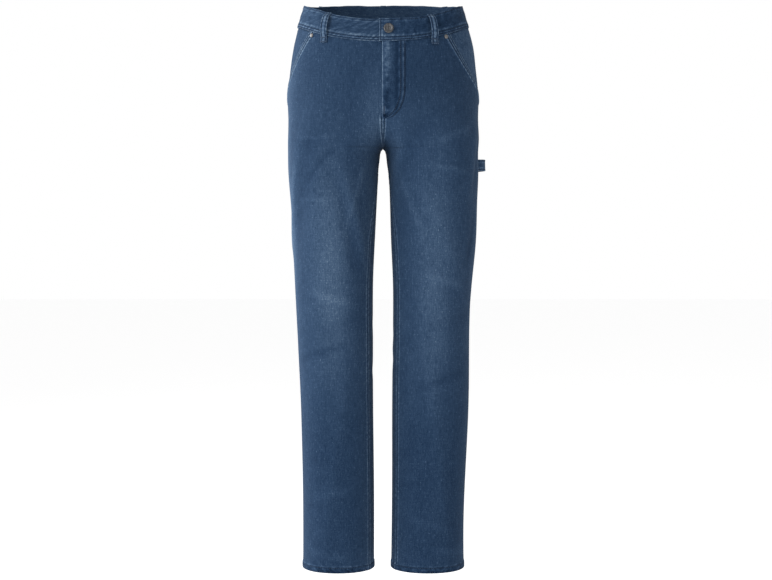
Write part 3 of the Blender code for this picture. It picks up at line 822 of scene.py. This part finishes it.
def facing_sheet(side):
    """The piece behind a slant pocket's opening. It sinks from the outseam to the opening."""
    inside = np.linspace(0, 1, 16)
    under = FACING_UNDERLAP * np.linspace(0.25, 1, 4)
    angles, heights = [], []
    for share in np.linspace(0, FACING_SHARE, 50):
        height = front_row(share)
        start, edge = meet(side, height, outseam_front), meet(side, height, slant_angle)
        row = np.concatenate([start + (edge - start) * inside, edge + under])
        angles.append(row)
        heights.append(height(row))
    angles, heights = np.array(angles), np.array(heights)
    sheet = Sheet(lambda lift: cloth(side, angles, heights, lift))
    sheet.lift -= FACING_SINK * smooth(np.concatenate([inside, np.ones(len(under))]))
    sheet.lift += 0.5 * np.sin(sheet.top / 26 + side) * smooth(sheet.first / 20)
    # Painted light against the shade of the sunk facing.
    sheet.wear += FACING_PAINTED_LIGHT[side]
    sheet.blotch += 0.3
    return sheet


# The waistband
HALF_WAIST = 155.0


def around(turn, z, lift):
    """Points of the form by their turn about the waist: 0 at the centre front, growing to the
    wearer's left and on round the back."""
    turn, z, lift = np.broadcast_arrays(*(np.asarray(part, float) for part in (turn, z, lift)))
    turn = turn % (2 * math.pi)
    left = cloth(LEFT, math.pi / 2 - turn, z, lift)
    right = cloth(RIGHT, turn - 3 * math.pi / 2, z, lift)
    return np.where((turn <= math.pi)[..., None], left, right)


def turn_angle(turn):
    turn = turn % (2 * math.pi)
    return np.where(turn <= math.pi, math.pi / 2 - turn, turn - 3 * math.pi / 2)


def band_sheet():
    """The waistband, from its outer end at the centre front once round to its inner end."""
    start, end = OVER_END / HALF_WAIST, 2 * math.pi + UNDER_END / HALF_WAIST
    near = np.array((0, 0.6, 1.3, 2.2, 3.4, 5, 7, 9)) / HALF_WAIST
    round_waist = np.linspace(start + 0.075, end - 0.075, 270)
    turns = np.concatenate([start + near, round_waist, end - near[::-1]])
    run = LAP_RUN / HALF_WAIST
    over = smooth((run - turns) / run)
    under = smooth((turns - (2 * math.pi - run)) / (run - LAP_EARLY))
    top = np.array((0, 0.6, 1.3, 2.2, 3.2, 4.4, 5.8, 7.4, 9.2, 11.5, 14.5, 18, 21.5, 24.5, 27))
    foot = np.array((9.2, 7.8, 6.6, 5.4, 4.2, 3, 2, 1.2, 0.5, 0))
    down = np.concatenate([top, BAND_HEIGHT - foot])
    wave = 0.5 * np.sin(turns * 7 + 1) + 0.3 * np.sin(turns * 13) + 0.15 * np.sin(turns * 31 + 2)
    rise = (BAND_HEIGHT - down)[:, None] + wave * smooth((12 - down) / 12)[:, None]
    z = waist_seam(turn_angle(turns)) + rise
    lift = BAND_PROUD + LAP_SHIFT * (over - under)
    sheet = Sheet(lambda extra: around(turns, z, lift + extra), wall=BAND_WALL)
    sew_edge(sheet, "foot", BAND_FOOT)
    sew_edge(sheet, "top", BAND_TOP, shift=3)
    sew_edge(sheet, "first", STRAP_EDGE)
    along = sheet.first
    sheet.lift += 0.35 * np.sin(along / 11 + 0.25 * sheet.top) * np.sin(along / 47 + 1)
    sheet.blotch += 0.45
    # Painted shade: the band is made darker towards the wearer's left, the side away from the lamps.
    sheet.wear += 0.07 - 0.17 * smooth((sheet.base[..., 0] + 20) / 90)
    sheet.grain = (sheet.top, sheet.first)
    return sheet


# Pieces laid on the front and back
def front_point(x, z, lift):
    """Points of the front by their distance from the middle plane and height."""
    x, z, lift = np.broadcast_arrays(*(np.asarray(part, float) for part in (x, z, lift)))
    right, left = (cloth(side, angle_at(side, z, np.abs(x)), z, lift) for side in WORDS)
    return np.where(x[..., None] > 0, left, right)


FLY_ROWS = (2.0, 9.6)


def fly_width(z):
    bend = np.clip((FLY_BEND - z) / (FLY_BEND - FLY_FOOT), 0, 1)
    return FLY_FOOT_WIDTH + (FLY_WIDTH - FLY_FOOT_WIDTH) * np.sqrt(1 - bend**2)


def fly_sheet():
    """The placket: a ridge along its edge paled by abrasion, a trough beside it painted darker as
    shade, and a thin outer edge that lies in the front under the curved stitch rows, which are
    painted darker as shade where they sink."""
    top = float(waist_seam(math.pi / 2)) - SEAM_GAP
    bend = np.sin(np.linspace(0.04, 1, 34) * math.pi / 2)
    shares = np.concatenate([np.linspace(0, 0.75, 46), 0.75 + 0.25 * bend])[:, None]
    z = top + (FLY_FOOT - top) * shares
    across = np.concatenate([[0, 0.012, 0.03, 0.055, 0.085], np.linspace(0.12, 1, 32)])
    x = -FLY_PAST_CENTRE + (fly_width(z) + FLY_PAST_CENTRE) * across
    rise = (1 - shares) * FRONT_DIP * (x / HALF_WAIST) ** 2
    sheet = Sheet(lambda lift: front_point(x, z + rise, lift))
    edge, height = sheet.first, sheet.base[..., 2]
    low = smooth((height - FLY_FOOT) / 40)
    high = smooth((height + 150) / 60)
    ridge, trough = hill(edge - 9, 6), hill(x - 26, 4.5)
    slow = np.sin(sheet.top / 17 + 0.6) * np.sin(sheet.top / 7.3)
    sheet.lift += 0.15 + smooth(sheet.last / 8) * (1.25 + 0.9 * (ridge - trough) * low)
    sheet.lift += 0.35 * slow * ridge - 0.9 * (1 - np.clip(edge / 1.4, 0, 1)) ** 2
    # The edge is paled by abrasion; the trough is painted darker as the shade beside the ridge.
    sheet.wear += 0.44 * hill(edge, 1.6) - 0.18 * trough
    sheet.wear += ridge * (0.27 * high - 0.10 * (1 - high))
    sheet.wear += 0.35 * hill(edge - 5, 3) * hill(height + 178, 5)
    sheet.wear -= 0.3 * hill(edge - 5, 5) * hill(height + 190, 4)
    spots = 0.6 + 0.4 * np.sin(sheet.top / 2.9 + 2 * np.sin(sheet.top / 17))
    for offset in FLY_ROWS:
        at_row = hill(sheet.last - offset, ROW_WIDTH)
        pale = hill(sheet.last - offset - PALE_PAST_ROW, 1.3)
        sheet.lift -= 0.3 * at_row * low
        # Paler beside each row by abrasion, and painted darker in the sunk row as its shade.
        sheet.wear += 0.28 * pale * spots - 0.55 * at_row
    sheet.blotch += 0.55 * ridge + 0.25
    return sheet


def walk(side, angle, z, distance):
    """The angle that lies a distance along the cloth from another, at one height."""
    steps = 12
    angle = np.full(np.shape(distance), float(angle))
    for _ in range(steps):
        ahead = bare_form(side, angle + 0.01, z) - bare_form(side, angle - 0.01, z)
        speed = np.linalg.norm(ahead, axis=-1) / 0.02
        angle = angle + distance / steps / speed
    return angle


PATCH_STEPS = np.array((0, 0.7, 1.5, 2.5, 3.6, 5, 6.4, 7.6, 9, 11))


def pocket_sheet(side):
    """A patch with a pointed foot, laid on the back panel."""
    near, steps = PATCH_STEPS / (POCKET_WIDTH / 2), PATCH_STEPS / POCKET_SIDE
    shares = np.concatenate([-1 + near, np.linspace(-0.8, 0.8, 31), 1 - near[::-1]])
    down = np.concatenate([steps, np.linspace(0.12, 0.88, 30), 1 - steps[::-1]])[:, None]
    heights = POCKET_TOP - down * (POCKET_SIDE + POCKET_POINT * (1 - np.abs(shares)))
    half = (POCKET_WIDTH + (POCKET_FOOT_WIDTH - POCKET_WIDTH) * down) / 2
    angles = walk(side, POCKET_ANGLE, heights, half * shares)
    above = POCKET_LIFT + POCKET_WALL
    sheet = Sheet(lambda lift: cloth(side, angles, heights, above + lift), wall=POCKET_WALL)
    for edge in ("first", "last", "foot"):
        sew_edge(sheet, edge, PATCH_EDGE, shift=side)
    sew_edge(sheet, "top", PATCH_TOP, shift=side)
    middle = hill(sheet.first - 70, 42) * hill(sheet.top - 60, 45)
    sheet.lift += (1.6 + 0.8 * np.sin(sheet.first / 12 - 0.3 * sheet.top / 12)) * middle
    sheet.wear += 0.03 + 0.08 * middle
    sheet.blotch += 0.15
    return sheet


# Straps: the belt loops and the hammer loop
LoopRow = namedtuple("LoopRow", "rise space")
LOOP_ROWS = (
    LoopRow(-14.0, 0.5),
    LoopRow(-6.5, 0.6),
    LoopRow(-3.0, 2.2),
    LoopRow(2.5, 6.0),
    LoopRow(10.0, 8.6),
    LoopRow(19.5, 9.6),
    LoopRow(29.0, 8.6),
    LoopRow(35.5, 5.4),
    LoopRow(38.2, 2.3),
    LoopRow(40.3, 2.1),
)
Loop = namedtuple("Loop", "name side angle")
LOOPS = (
    Loop("loop_front_right", RIGHT, 52.0),
    Loop("loop_front_left", LEFT, 58.3),
    Loop("loop_back_right", RIGHT, -38.0),
    Loop("loop_back_left", LEFT, -38.0),
    Loop("loop_centre", LEFT, -90.0),
)
STRAP_STEPS = np.array((0, 0.4, 0.9, 1.5, 2.1, 2.7, 3.5, 4.4, 5.3, 6.25))


def loop_sheet(loop, shift):
    angle = math.radians(loop.angle)
    turn = math.pi / 2 - angle if loop.side == LEFT else angle + 3 * math.pi / 2
    seam = float(waist_seam(angle))
    ahead = around(turn + 0.01, seam, 0) - around(turn - 0.01, seam, 0)
    speed = np.linalg.norm(ahead) / 0.02
    across = np.concatenate([STRAP_STEPS, LOOP_WIDTH - STRAP_STEPS[-2::-1]])
    turns = turn + (across - LOOP_WIDTH / 2) / speed
    space = spline([row.rise for row in LOOP_ROWS], [row.space for row in LOOP_ROWS])
    rises = np.concatenate([[40.3, 39.9, 39.2], np.linspace(38.2, -13, 42), [-13.6, -14]])[:, None]
    lifts = np.maximum(space(rises), 0.35) + LOOP_WALL + 0.8 * smooth((-2 - rises) / 4)
    sheet = Sheet(lambda lift: around(turns, seam + rises, lifts + lift), wall=LOOP_WALL)
    for edge in ("first", "last"):
        sew_edge(sheet, edge, STRAP_EDGE, shift=shift)
    middle = sheet.first - LOOP_WIDTH / 2
    sheet.lift += 0.5 * hill(middle, 2.6)
    sheet.lift += 0.25 * smooth((-2 - rises) / 3) * np.sin(sheet.top / 1.5)
    sheet.wear += 0.05 + 0.12 * hill(middle, 1.6) * (0.7 + 0.3 * np.sin(sheet.top / 3.3))
    sheet.blotch += 0.35
    return sheet


HAMMER_STEPS = np.array((0, 0.5, 1.1, 1.9, 2.8, 4, 5.6, 8))
HAMMER_SEWN = 0.06


def hammer_sheet():
    """A strap sewn in at the left outseam and across to the back of the leg, hanging open."""
    shares = np.linspace(0, 1, 90)
    start, end = HAMMER_ENDS
    angles = start + (end - start) * shares
    hanging = np.clip((shares - HAMMER_SEWN) / (1 - 2 * HAMMER_SEWN), 0, 1)
    space = LAID_ON + HAMMER_BULGE * np.sin(math.pi * hanging**0.85) ** 0.8
    edges = HAMMER_STEPS, [HAMMER_HEIGHT / 2], HAMMER_HEIGHT - HAMMER_STEPS[::-1]
    z = HAMMER_TOP - np.concatenate(edges)[:, None] + HAMMER_ARCH * np.sin(math.pi * shares)
    above = space + HAMMER_WALL
    sheet = Sheet(lambda lift: cloth(LEFT, angles, z, above + lift), wall=HAMMER_WALL)
    for edge in ("top", "foot"):
        sew_edge(sheet, edge, STRAP_EDGE, shift=2)
    sheet.wear += 0.08
    sheet.blotch += 0.3
    sheet.grain = (sheet.top, sheet.first)
    return sheet


def make_cloth(denim, inside, lining):
    """Every piece of cloth. Their order also shifts each one's grain."""
    sheets = {}
    level = [level_row(z) for z in level_heights()]
    depth = SIDE_TOP - BAND_HEIGHT - BLOCK_END
    front_rows = [front_row(share) for share in block_shares(depth, 42)] + level
    back_rows = [back_row(share) for share in block_shares(depth - YOKE_MEAN, 30)] + level
    yoke_rows = [yoke_row(share) for share in block_shares(YOKE_MEAN, 16)]
    both = (denim, inside)
    for side, word in WORDS.items():
        make_sheet(sheets, f"front_{word}", front_panel(side, front_rows), both)
        make_sheet(sheets, f"back_{word}", back_panel(side, back_rows), both)
        make_sheet(sheets, f"yoke_{word}", yoke_panel(side, yoke_rows), both)
    for side, word in WORDS.items():
        make_sheet(sheets, f"pocket_facing_{word}", facing_sheet(side), both)
        make_sheet(sheets, f"back_pocket_{word}", pocket_sheet(side), both)
    make_sheet(sheets, "waistband", band_sheet(), (denim, lining), inner_lift=-BAND_WALL)
    make_sheet(sheets, "fly", fly_sheet(), both, inner_lift=-0.2)
    for loop in LOOPS:
        make_sheet(sheets, loop.name, loop_sheet(loop, len(sheets)), (denim, denim))
    make_sheet(sheets, "hammer_loop", hammer_sheet(), (denim, denim))
    return sheets


# Stitching
STITCH = 2.7
STITCH_STEP = 3.5
THREAD = 0.42
RINGS = ((0.0, -0.35, 0.6), (0.22, 0.15, 1.0), (0.5, 0.3, 1.05), (0.78, 0.15, 1.0), (1.0, -0.35, 0.6))
SIDES = 5


def resample(points, normals, places):
    track = lengths(points, 0)
    columns = np.concatenate([points, normals], axis=1).T
    found = np.array([np.interp(places, track, values) for values in columns]).T
    return found[:, :3], found[:, 3:]


def row_of_stitches(points, normals, step, length):
    """The two ends and the normal of each stitch along a line."""
    total = lengths(points, 0)[-1]
    starts = np.arange(0.5, total - length, step)
    first, up = resample(points, normals, starts)
    last, _ = resample(points, normals, starts + length)
    return np.stack([first, last, up], axis=1)


def tack(points, normals, width, step=0.62):
    """A bartack: tight stitches across a short line."""
    total = lengths(points, 0)[-1]
    places, up = resample(points, normals, np.arange(0, total, step))
    along = np.gradient(places, axis=0)
    aside = np.cross(up, along)
    aside *= width / 2 / np.linalg.norm(aside, axis=1, keepdims=True)
    lean = 0.25 * step * along / np.linalg.norm(along, axis=1, keepdims=True)
    return np.stack([places - aside - lean, places + aside + lean, up], axis=1)


def sew(name, rows, material):
    """One mesh of all the stitches in some rows."""
    stitches = np.concatenate(rows)
    first, last, up = stitches[:, 0], stitches[:, 1], stitches[:, 2]
    along = last - first
    beside = np.cross(up, along)
    beside /= np.linalg.norm(beside, axis=1, keepdims=True)
    rings = []
    for share, height, width in RINGS:
        centre = first + along * share + up * height * THREAD
        for turn in np.arange(SIDES) * 2 * math.pi / SIDES:
            out = beside * math.cos(turn) + up * math.sin(turn)
            rings.append(centre + THREAD * width * out)
    points = np.stack(rings, axis=1).reshape(-1, 3)
    quads = []
    for ring in range(len(RINGS) - 1):
        for k in range(SIDES):
            a, b = ring * SIDES + k, ring * SIDES + (k + 1) % SIDES
            quads.append((a, b, b + SIDES, a + SIDES))
    starts = np.arange(len(stitches)) * len(rings)
    faces = (starts[:, None, None] + np.array(quads)).reshape(-1, 4)
    show(name, new_mesh(name, points, faces.tolist(), [material]), "denim")


def cut_line(line, low, high):
    """The part of a line between two heights."""
    points, normals = line
    keep = (points[:, 2] > low) & (points[:, 2] < high)
    return points[keep], normals[keep]


def pair(kind):
    return tuple(f"{kind}_{word}" for word in WORDS.values())


LOWEST, HIGHEST = -2000.0, 2000.0
ABOVE_HEM = -1031.0
LOOP_NAMES = tuple(loop.name for loop in LOOPS)

# Rows of stitches: the mesh they are in, the pieces and the edge they run along, how far from
# that edge, and the heights between which they are sewn.
Sewing = namedtuple(
    "Sewing",
    "mesh pieces edge rows low high step length",
    defaults=(LOWEST, HIGHEST, STITCH_STEP, STITCH),
)
SEWINGS = (
    Sewing("front", pair("front"), "first", POCKET_EDGE.rows, SLANT_FOOT),
    Sewing("front", pair("front"), "last", INSEAM.rows, ABOVE_HEM, CROTCH - 12),
    Sewing("front", pair("front"), "last", CENTRE.rows, CROTCH + 1, -196),
    Sewing("front", pair("front"), "foot", HEM_ROLL.rows),
    Sewing("back", pair("back"), "first", FELLED.rows, ABOVE_HEM),
    Sewing("back", pair("back"), "foot", HEM_ROLL.rows),
    Sewing("back", pair("yoke"), "foot", FELLED.rows),
    Sewing("back", pair("yoke"), "first", FELLED.rows),
    Sewing("back", ("back_left",), "last", SEAT[LEFT].rows, CROTCH + 4),
    Sewing("back", ("yoke_left",), "last", SEAT[LEFT].rows),
    Sewing("pockets", pair("back_pocket"), "first", PATCH_EDGE.rows),
    Sewing("pockets", pair("back_pocket"), "last", PATCH_EDGE.rows),
    Sewing("pockets", pair("back_pocket"), "foot", PATCH_EDGE.rows),
    Sewing("pockets", pair("back_pocket"), "top", PATCH_TOP.rows),
    Sewing("waistband", ("waistband",), "foot", BAND_FOOT.rows),
    Sewing("waistband", ("waistband",), "top", BAND_TOP.rows),
    Sewing("waistband", ("waistband",), "first", (2.3,)),
    Sewing("fly", ("fly",), "last", FLY_ROWS, -192, 0),
    Sewing("loops", LOOP_NAMES, "first", STRAP_EDGE.rows, step=3.0, length=2.3),
    Sewing("loops", LOOP_NAMES, "last", STRAP_EDGE.rows, step=3.0, length=2.3),
    Sewing("loops", ("hammer_loop",), "top", (2.3,)),
    Sewing("loops", ("hammer_loop",), "foot", (2.3,)),
)
TACK_WIDTH = 2.2
Tacks = namedtuple(
    "Tacks", "mesh pieces edge rows low high width", defaults=(LOWEST, HIGHEST, TACK_WIDTH)
)
TACKS = (
    Tacks("fly", ("fly",), "first", (4.0,), -188, -172, 2.8),
    Tacks("loops", LOOP_NAMES, "foot", (1.6, 9.5)),
    Tacks("loops", LOOP_NAMES, "top", (2.6,)),
    Tacks("loops", ("hammer_loop",), "last", (2.0,)),
)


def lines_of(sheets, sewn):
    """Each line that some rows of stitches or tacks follow."""
    for piece in sewn.pieces:
        for offset in sewn.rows:
            yield cut_line(sheets[piece].line(sewn.edge, offset), sewn.low, sewn.high)


def stitch_all(sheets, thread):
    rows = defaultdict(list)
    for sewn in SEWINGS:
        for line in lines_of(sheets, sewn):
            rows[sewn.mesh].append(row_of_stitches(*line, sewn.step, sewn.length))
    for sewn in TACKS:
        for line in lines_of(sheets, sewn):
            rows[sewn.mesh].append(tack(*line, sewn.width))
    for word, stitches in rows.items():
        sew("stitches_" + word, stitches, thread)


# Materials
class Shader:
    """A material on Blender's own surface shader, with short ways to add nodes."""

    def __init__(self, name):
        self.material = bpy.data.materials.new(name)
        self.material.use_nodes = True
        self.tree = self.material.node_tree
        self.surface = self.tree.nodes["Principled BSDF"]

    def node(self, kind, *inputs, **settings):
        """A node, with its first inputs set or linked. None leaves an input as it is."""
        node = self.tree.nodes.new(kind)
        for key, value in settings.items():
            setattr(node, key, value)
        for socket, value in zip(node.inputs, inputs):
            if isinstance(value, bpy.types.NodeSocket):
                self.tree.links.new(value, socket)
            elif value is not None:
                socket.default_value = value
        return node

    def calc(self, operation, first, second=0.0, clamp=False):
        node = self.node("ShaderNodeMath", first, second, operation=operation, use_clamp=clamp)
        return node.outputs[0]

    def noise(self, place, scale, detail=2.0, rough=0.5):
        """Noise about 0, with its own scale across and down."""
        stretch = (*scale, 1.0)
        stretched = self.node("ShaderNodeVectorMath", place, stretch, operation="MULTIPLY")
        node = self.node("ShaderNodeTexNoise", stretched.outputs[0])
        node.inputs["Scale"].default_value = 1.0
        node.inputs["Detail"].default_value = detail
        node.inputs["Roughness"].default_value = rough
        return self.calc("SUBTRACT", node.outputs["Fac"], 0.5)

    def ramp(self, factor, stops):
        node = self.node("ShaderNodeValToRGB", factor)
        elements = node.color_ramp.elements
        while len(elements) < len(stops):
            elements.new(0.5)
        for element, (place, colour) in zip(elements, stops):
            element.position = place
            element.color = (*colour, 1)
        return node.outputs[0]

    def link(self, value, word):
        self.tree.links.new(value, self.surface.inputs[word])

    def set(self, **values):
        for word, value in values.items():
            self.surface.inputs[word.replace("_", " ")].default_value = value


# Layers of noise on the cloth: how fine they are across and down, how much they pale the cloth
# and how much they stand up.
Grain = namedtuple("Grain", "across down detail rough amount relief")
GRAINS = (
    Grain(800, 130, 2, 0.5, 0.34, 1.0),
    Grain(330, 50, 3, 0.55, 0.30, 0.7),
    Grain(75, 430, 2, 0.5, 0.16, 0.5),
    Grain(120, 9, 2, 0.5, 0.07, 0.0),
    Grain(24, 14, 3, 0.5, 0.12, 0.0),
    Grain(640, 480, 2, 0.6, 0.40, 1.2),
)
SPECKS = Grain(400, 230, 2, 0.5, 1.6, 0.0)
SPECK_LEVEL = 0.10
MOTTLES = Grain(95, 110, 4, 0.6, 1.5, 0.8)
TWILL_PITCH = 0.0013


def denim_material(name, stops, base_level, mesh_marks_share=1.0):
    """Twill with uneven upright yarns. The wash, the abrasion and the painted light and shade come
    from the mesh.
    """
    shader = Shader(name)
    place = shader.node("ShaderNodeUVMap", uv_map="cloth").outputs[0]
    wear = shader.node("ShaderNodeAttribute", attribute_name="wear").outputs["Fac"]
    blotch = shader.node("ShaderNodeAttribute", attribute_name="blotch").outputs["Fac"]

    def layer(grain):
        return shader.noise(place, (grain.across, grain.down), grain.detail, grain.rough)

    def product(first, second):
        return shader.calc("MULTIPLY", first, second)

    parts = shader.node("ShaderNodeSeparateXYZ", place)
    diagonal = shader.calc("ADD", parts.outputs[0], parts.outputs[1])
    twill = shader.calc("SINE", product(diagonal, 2 * math.pi / TWILL_PITCH))
    level = shader.calc("ADD", product(wear, mesh_marks_share), base_level)
    level = shader.calc("ADD", level, product(twill, 0.02))
    height = product(twill, 0.35)
    for grain in GRAINS:
        value = layer(grain)
        level = shader.calc("ADD", level, product(value, grain.amount))
        if grain.relief:
            height = shader.calc("ADD", height, product(value, grain.relief))
    specks = shader.calc("MAXIMUM", shader.calc("SUBTRACT", layer(SPECKS), SPECK_LEVEL), 0.0)
    level = shader.calc("ADD", level, product(specks, SPECKS.amount))
    mottles = product(product(layer(MOTTLES), MOTTLES.amount), product(blotch, mesh_marks_share))
    level = shader.calc("ADD", level, mottles, clamp=True)
    height = shader.calc("ADD", height, product(mottles, MOTTLES.relief))
    shader.link(shader.ramp(level, stops), "Base Color")
    bump = shader.node("ShaderNodeBump")
    bump.inputs["Strength"].default_value = 0.5
    bump.inputs["Distance"].default_value = 0.00045
    shader.tree.links.new(height, bump.inputs["Height"])
    shader.link(bump.outputs[0], "Normal")
    shader.set(Roughness=0.9, Specular_IOR_Level=0.12, Specular_Tint=(0.45, 0.7, 1.0, 1.0))
    shader.set(Sheen_Weight=0.04, Sheen_Roughness=0.5, Sheen_Tint=(0.5, 0.75, 1.0, 1.0))
    return shader.material


def thread_material():
    shader = Shader("Blue thread")
    place = shader.node("ShaderNodeNewGeometry").outputs["Position"]
    tone = shader.noise(place, (60, 60), 2)
    level = shader.calc("ADD", tone, 0.5, clamp=True)
    shader.link(shader.ramp(level, THREAD_BLUE), "Base Color")
    shader.set(Roughness=0.75, Specular_IOR_Level=0.2)
    return shader.material


def metal_material(name, dark, light, roughness):
    shader = Shader(name)
    place = shader.node("ShaderNodeNewGeometry").outputs["Position"]
    tone = shader.noise(place, (700, 700), 4, 0.65)
    level = shader.calc("ADD", shader.calc("MULTIPLY", tone, 1.6), 0.5, clamp=True)
    shader.link(shader.ramp(level, ((0.2, dark), (0.8, light))), "Base Color")
    rough = shader.calc("ADD", shader.calc("MULTIPLY", tone, -0.4), roughness, clamp=True)
    shader.link(rough, "Roughness")
    shader.set(Metallic=1.0)
    return shader.material


INDIGO = (
    (0.0, (0.002, 0.007, 0.019)),
    (0.3, (0.010, 0.025, 0.057)),
    (0.5, (0.023, 0.047, 0.093)),
    (0.7, (0.052, 0.090, 0.154)),
    (1.0, (0.150, 0.217, 0.300)),
)
WRONG_SIDE = (
    (0.0, (0.05, 0.075, 0.12)),
    (0.5, (0.16, 0.21, 0.27)),
    (1.0, (0.34, 0.39, 0.44)),
)
THREAD_BLUE = ((0.25, (0.016, 0.030, 0.062)), (0.75, (0.045, 0.075, 0.125)))
ANTIQUE = ((0.03, 0.031, 0.034), (0.17, 0.17, 0.175), 0.45)
SILVER = ((0.085, 0.084, 0.084), (0.28, 0.272, 0.27), 0.42)


# Metal pieces
# Half profiles: the distance from the axis and the height, from the top round to the foot.
BUTTON_PROFILE = (
    (0, 2.5), (1.2, 2.5), (1.7, 2.75), (2.3, 2.75), (2.8, 2.45), (4.3, 2.45), (5.2, 2.7),
    (6.0, 3.3), (6.9, 3.85), (7.6, 4.0), (8.3, 3.85), (8.9, 3.4), (9.15, 2.9), (9.0, 2.4),
    (8.5, 2.1), (4.2, 1.9), (3.7, 1.6), (3.6, 0), (0, 0),
)
RIVET_PROFILE = (
    (0, 2.0), (0.8, 1.95), (1.3, 1.7), (1.7, 1.65), (2.2, 1.75), (2.8, 1.55), (3.3, 1.2),
    (3.7, 0.75), (3.9, 0.35), (3.9, 0), (0, 0),
)
BUTTON_ABOVE_BAND = 0.35
RIVET_ABOVE_FRONT = 0.6
SHARP = math.radians(55)
BUTTON_X, BUTTON_Z = 10.3, -32.0
Rivet = namedtuple("Rivet", "name side angle z")
RIVETS = (
    Rivet("rivet_right", RIGHT, 39.3, -40.6),
    Rivet("rivet_left", LEFT, 48.2, -44.2),
)


def turned_piece(name, profile, steps, place, normal, material, slot):
    """A profile turned about a normal of the cloth."""
    turns = np.arange(steps) * 2 * math.pi / steps
    rings = [[(r * math.cos(t), r * math.sin(t), h) for t in turns] for r, h in profile[1:-1]]
    points = [(0, 0, profile[0][1])] + sum(rings, []) + [(0, 0, profile[-1][1])]
    last = 1 + (len(rings) - 1) * steps
    faces = []
    for k in range(steps):
        after = (k + 1) % steps
        faces.append((0, 1 + k, 1 + after))
        for a in range(1, last, steps):
            faces.append((a + k, a + steps + k, a + steps + after, a + after))
        faces.append((last + k, len(points) - 1, last + after))
    turn = mathutils.Vector(normal).to_track_quat("Z", "Y").to_matrix()
    points = np.array(points) @ np.array(turn).T + place
    mesh = new_mesh(name, points, faces, [material])
    mesh.set_sharp_from_angle(angle=SHARP)
    show(name + "_metal", mesh, slot, name)


def make_hardware(antique, silver):
    lift = BAND_PROUD + LAP_SHIFT + BUTTON_ABOVE_BAND
    place, above = (front_point(BUTTON_X, BUTTON_Z, height) for height in (lift, lift + 1))
    turned_piece("button", BUTTON_PROFILE, 48, place, above - place, antique, "antique_metal")
    for rivet in RIVETS:
        angle = math.radians(rivet.angle)
        place = cloth(rivet.side, angle, rivet.z, LAID_ON + RIVET_ABOVE_FRONT)
        normal = form_normal(rivet.side, angle, np.float64(rivet.z))
        turned_piece(rivet.name, RIVET_PROFILE, 36, place, normal, silver, "rivet_metal")


# Floor, lights and camera, in metres
FLOOR_Z = -1.35
FLOOR_HALF_WIDTH = 9
FLOOR_NEAR, FLOOR_FAR = -6, 14
FLOOR_GLOW = 0.32
SOFT_LIGHT = 0.7
WHITE = (1, 1, 1, 1)
Lamp = namedtuple("Lamp", "name place size power")
LAMPS = (
    Lamp("left_side", (-2.8, 0.7, 0.1), 1.4, 75),
    Lamp("front", (-2.4, -2.5, 1.0), 1.6, 66),
)
LAMP_AIM = mathutils.Vector((0, 0, -0.5))


def make_floor():
    mesh = bpy.data.meshes.new("floor")
    left, right = -FLOOR_HALF_WIDTH, FLOOR_HALF_WIDTH
    corners = (left, FLOOR_NEAR), (right, FLOOR_NEAR), (right, FLOOR_FAR), (left, FLOOR_FAR)
    mesh.from_pydata([(x, y, FLOOR_Z) for x, y in corners], [], [(0, 1, 2, 3)])
    shader = Shader("Floor")
    shader.set(Base_Color=(0.93, 0.93, 0.93, 1), Roughness=0.9)
    shader.set(Emission_Color=WHITE, Emission_Strength=FLOOR_GLOW)
    mesh.materials.append(shader.material)
    floor = bpy.data.objects.new("floor", mesh)
    bpy.context.scene.collection.objects.link(floor)


def make_world():
    """A white backdrop, which lights the scene more softly than it looks."""
    world = bpy.data.worlds.new("Studio")
    bpy.context.scene.world = world
    world.use_nodes = True
    tree = world.node_tree
    backdrop = tree.nodes["Background"]
    soft = tree.nodes.new("ShaderNodeBackground")
    for node, strength in ((backdrop, 1.0), (soft, SOFT_LIGHT)):
        node.inputs["Color"].default_value = WHITE
        node.inputs["Strength"].default_value = strength
    mix = tree.nodes.new("ShaderNodeMixShader")
    tree.links.new(tree.nodes.new("ShaderNodeLightPath").outputs["Is Camera Ray"], mix.inputs[0])
    tree.links.new(soft.outputs[0], mix.inputs[1])
    tree.links.new(backdrop.outputs[0], mix.inputs[2])
    tree.links.new(mix.outputs[0], tree.nodes["World Output"].inputs["Surface"])
    bpy.context.scene.view_settings.view_transform = "Standard"


def make_lights():
    for lamp in LAMPS:
        data = bpy.data.lights.new(lamp.name, "AREA")
        data.size = lamp.size
        data.energy = lamp.power
        item = bpy.data.objects.new(lamp.name, data)
        item.location = lamp.place
        aim = LAMP_AIM - mathutils.Vector(lamp.place)
        item.rotation_euler = aim.to_track_quat("-Z", "Y").to_euler()
        bpy.context.scene.collection.objects.link(item)


CAMERA = mathutils.Vector((0.0057, -3.3, -0.34))
AIM = mathutils.Vector((0.0057, 0, -0.515))
METRES_PER_PIXEL = 0.0019
IMAGE_WIDTH = 772
SENSOR = 36.0


def make_camera():
    data = bpy.data.cameras.new("camera")
    data.sensor_width = SENSOR
    data.lens = (AIM - CAMERA).length / METRES_PER_PIXEL * SENSOR / IMAGE_WIDTH
    item = bpy.data.objects.new("camera", data)
    item.location = CAMERA
    item.rotation_euler = (AIM - CAMERA).to_track_quat("-Z", "Y").to_euler()
    bpy.context.scene.collection.objects.link(item)
    bpy.context.scene.camera = item


def main():
    make_camera()
    make_floor()
    make_world()
    make_lights()
    denim = denim_material("Denim", INDIGO, 0.42)
    inside = denim_material("Denim wrong side", WRONG_SIDE, 0.45)
    lining = denim_material("Denim inside the band", INDIGO, 0.52, mesh_marks_share=0.0)
    antique = metal_material("Antique metal", *ANTIQUE)
    silver = metal_material("Silver metal", *SILVER)
    sheets = make_cloth(denim, inside, lining)
    stitch_all(sheets, thread_material())
    make_hardware(antique, silver)


main()
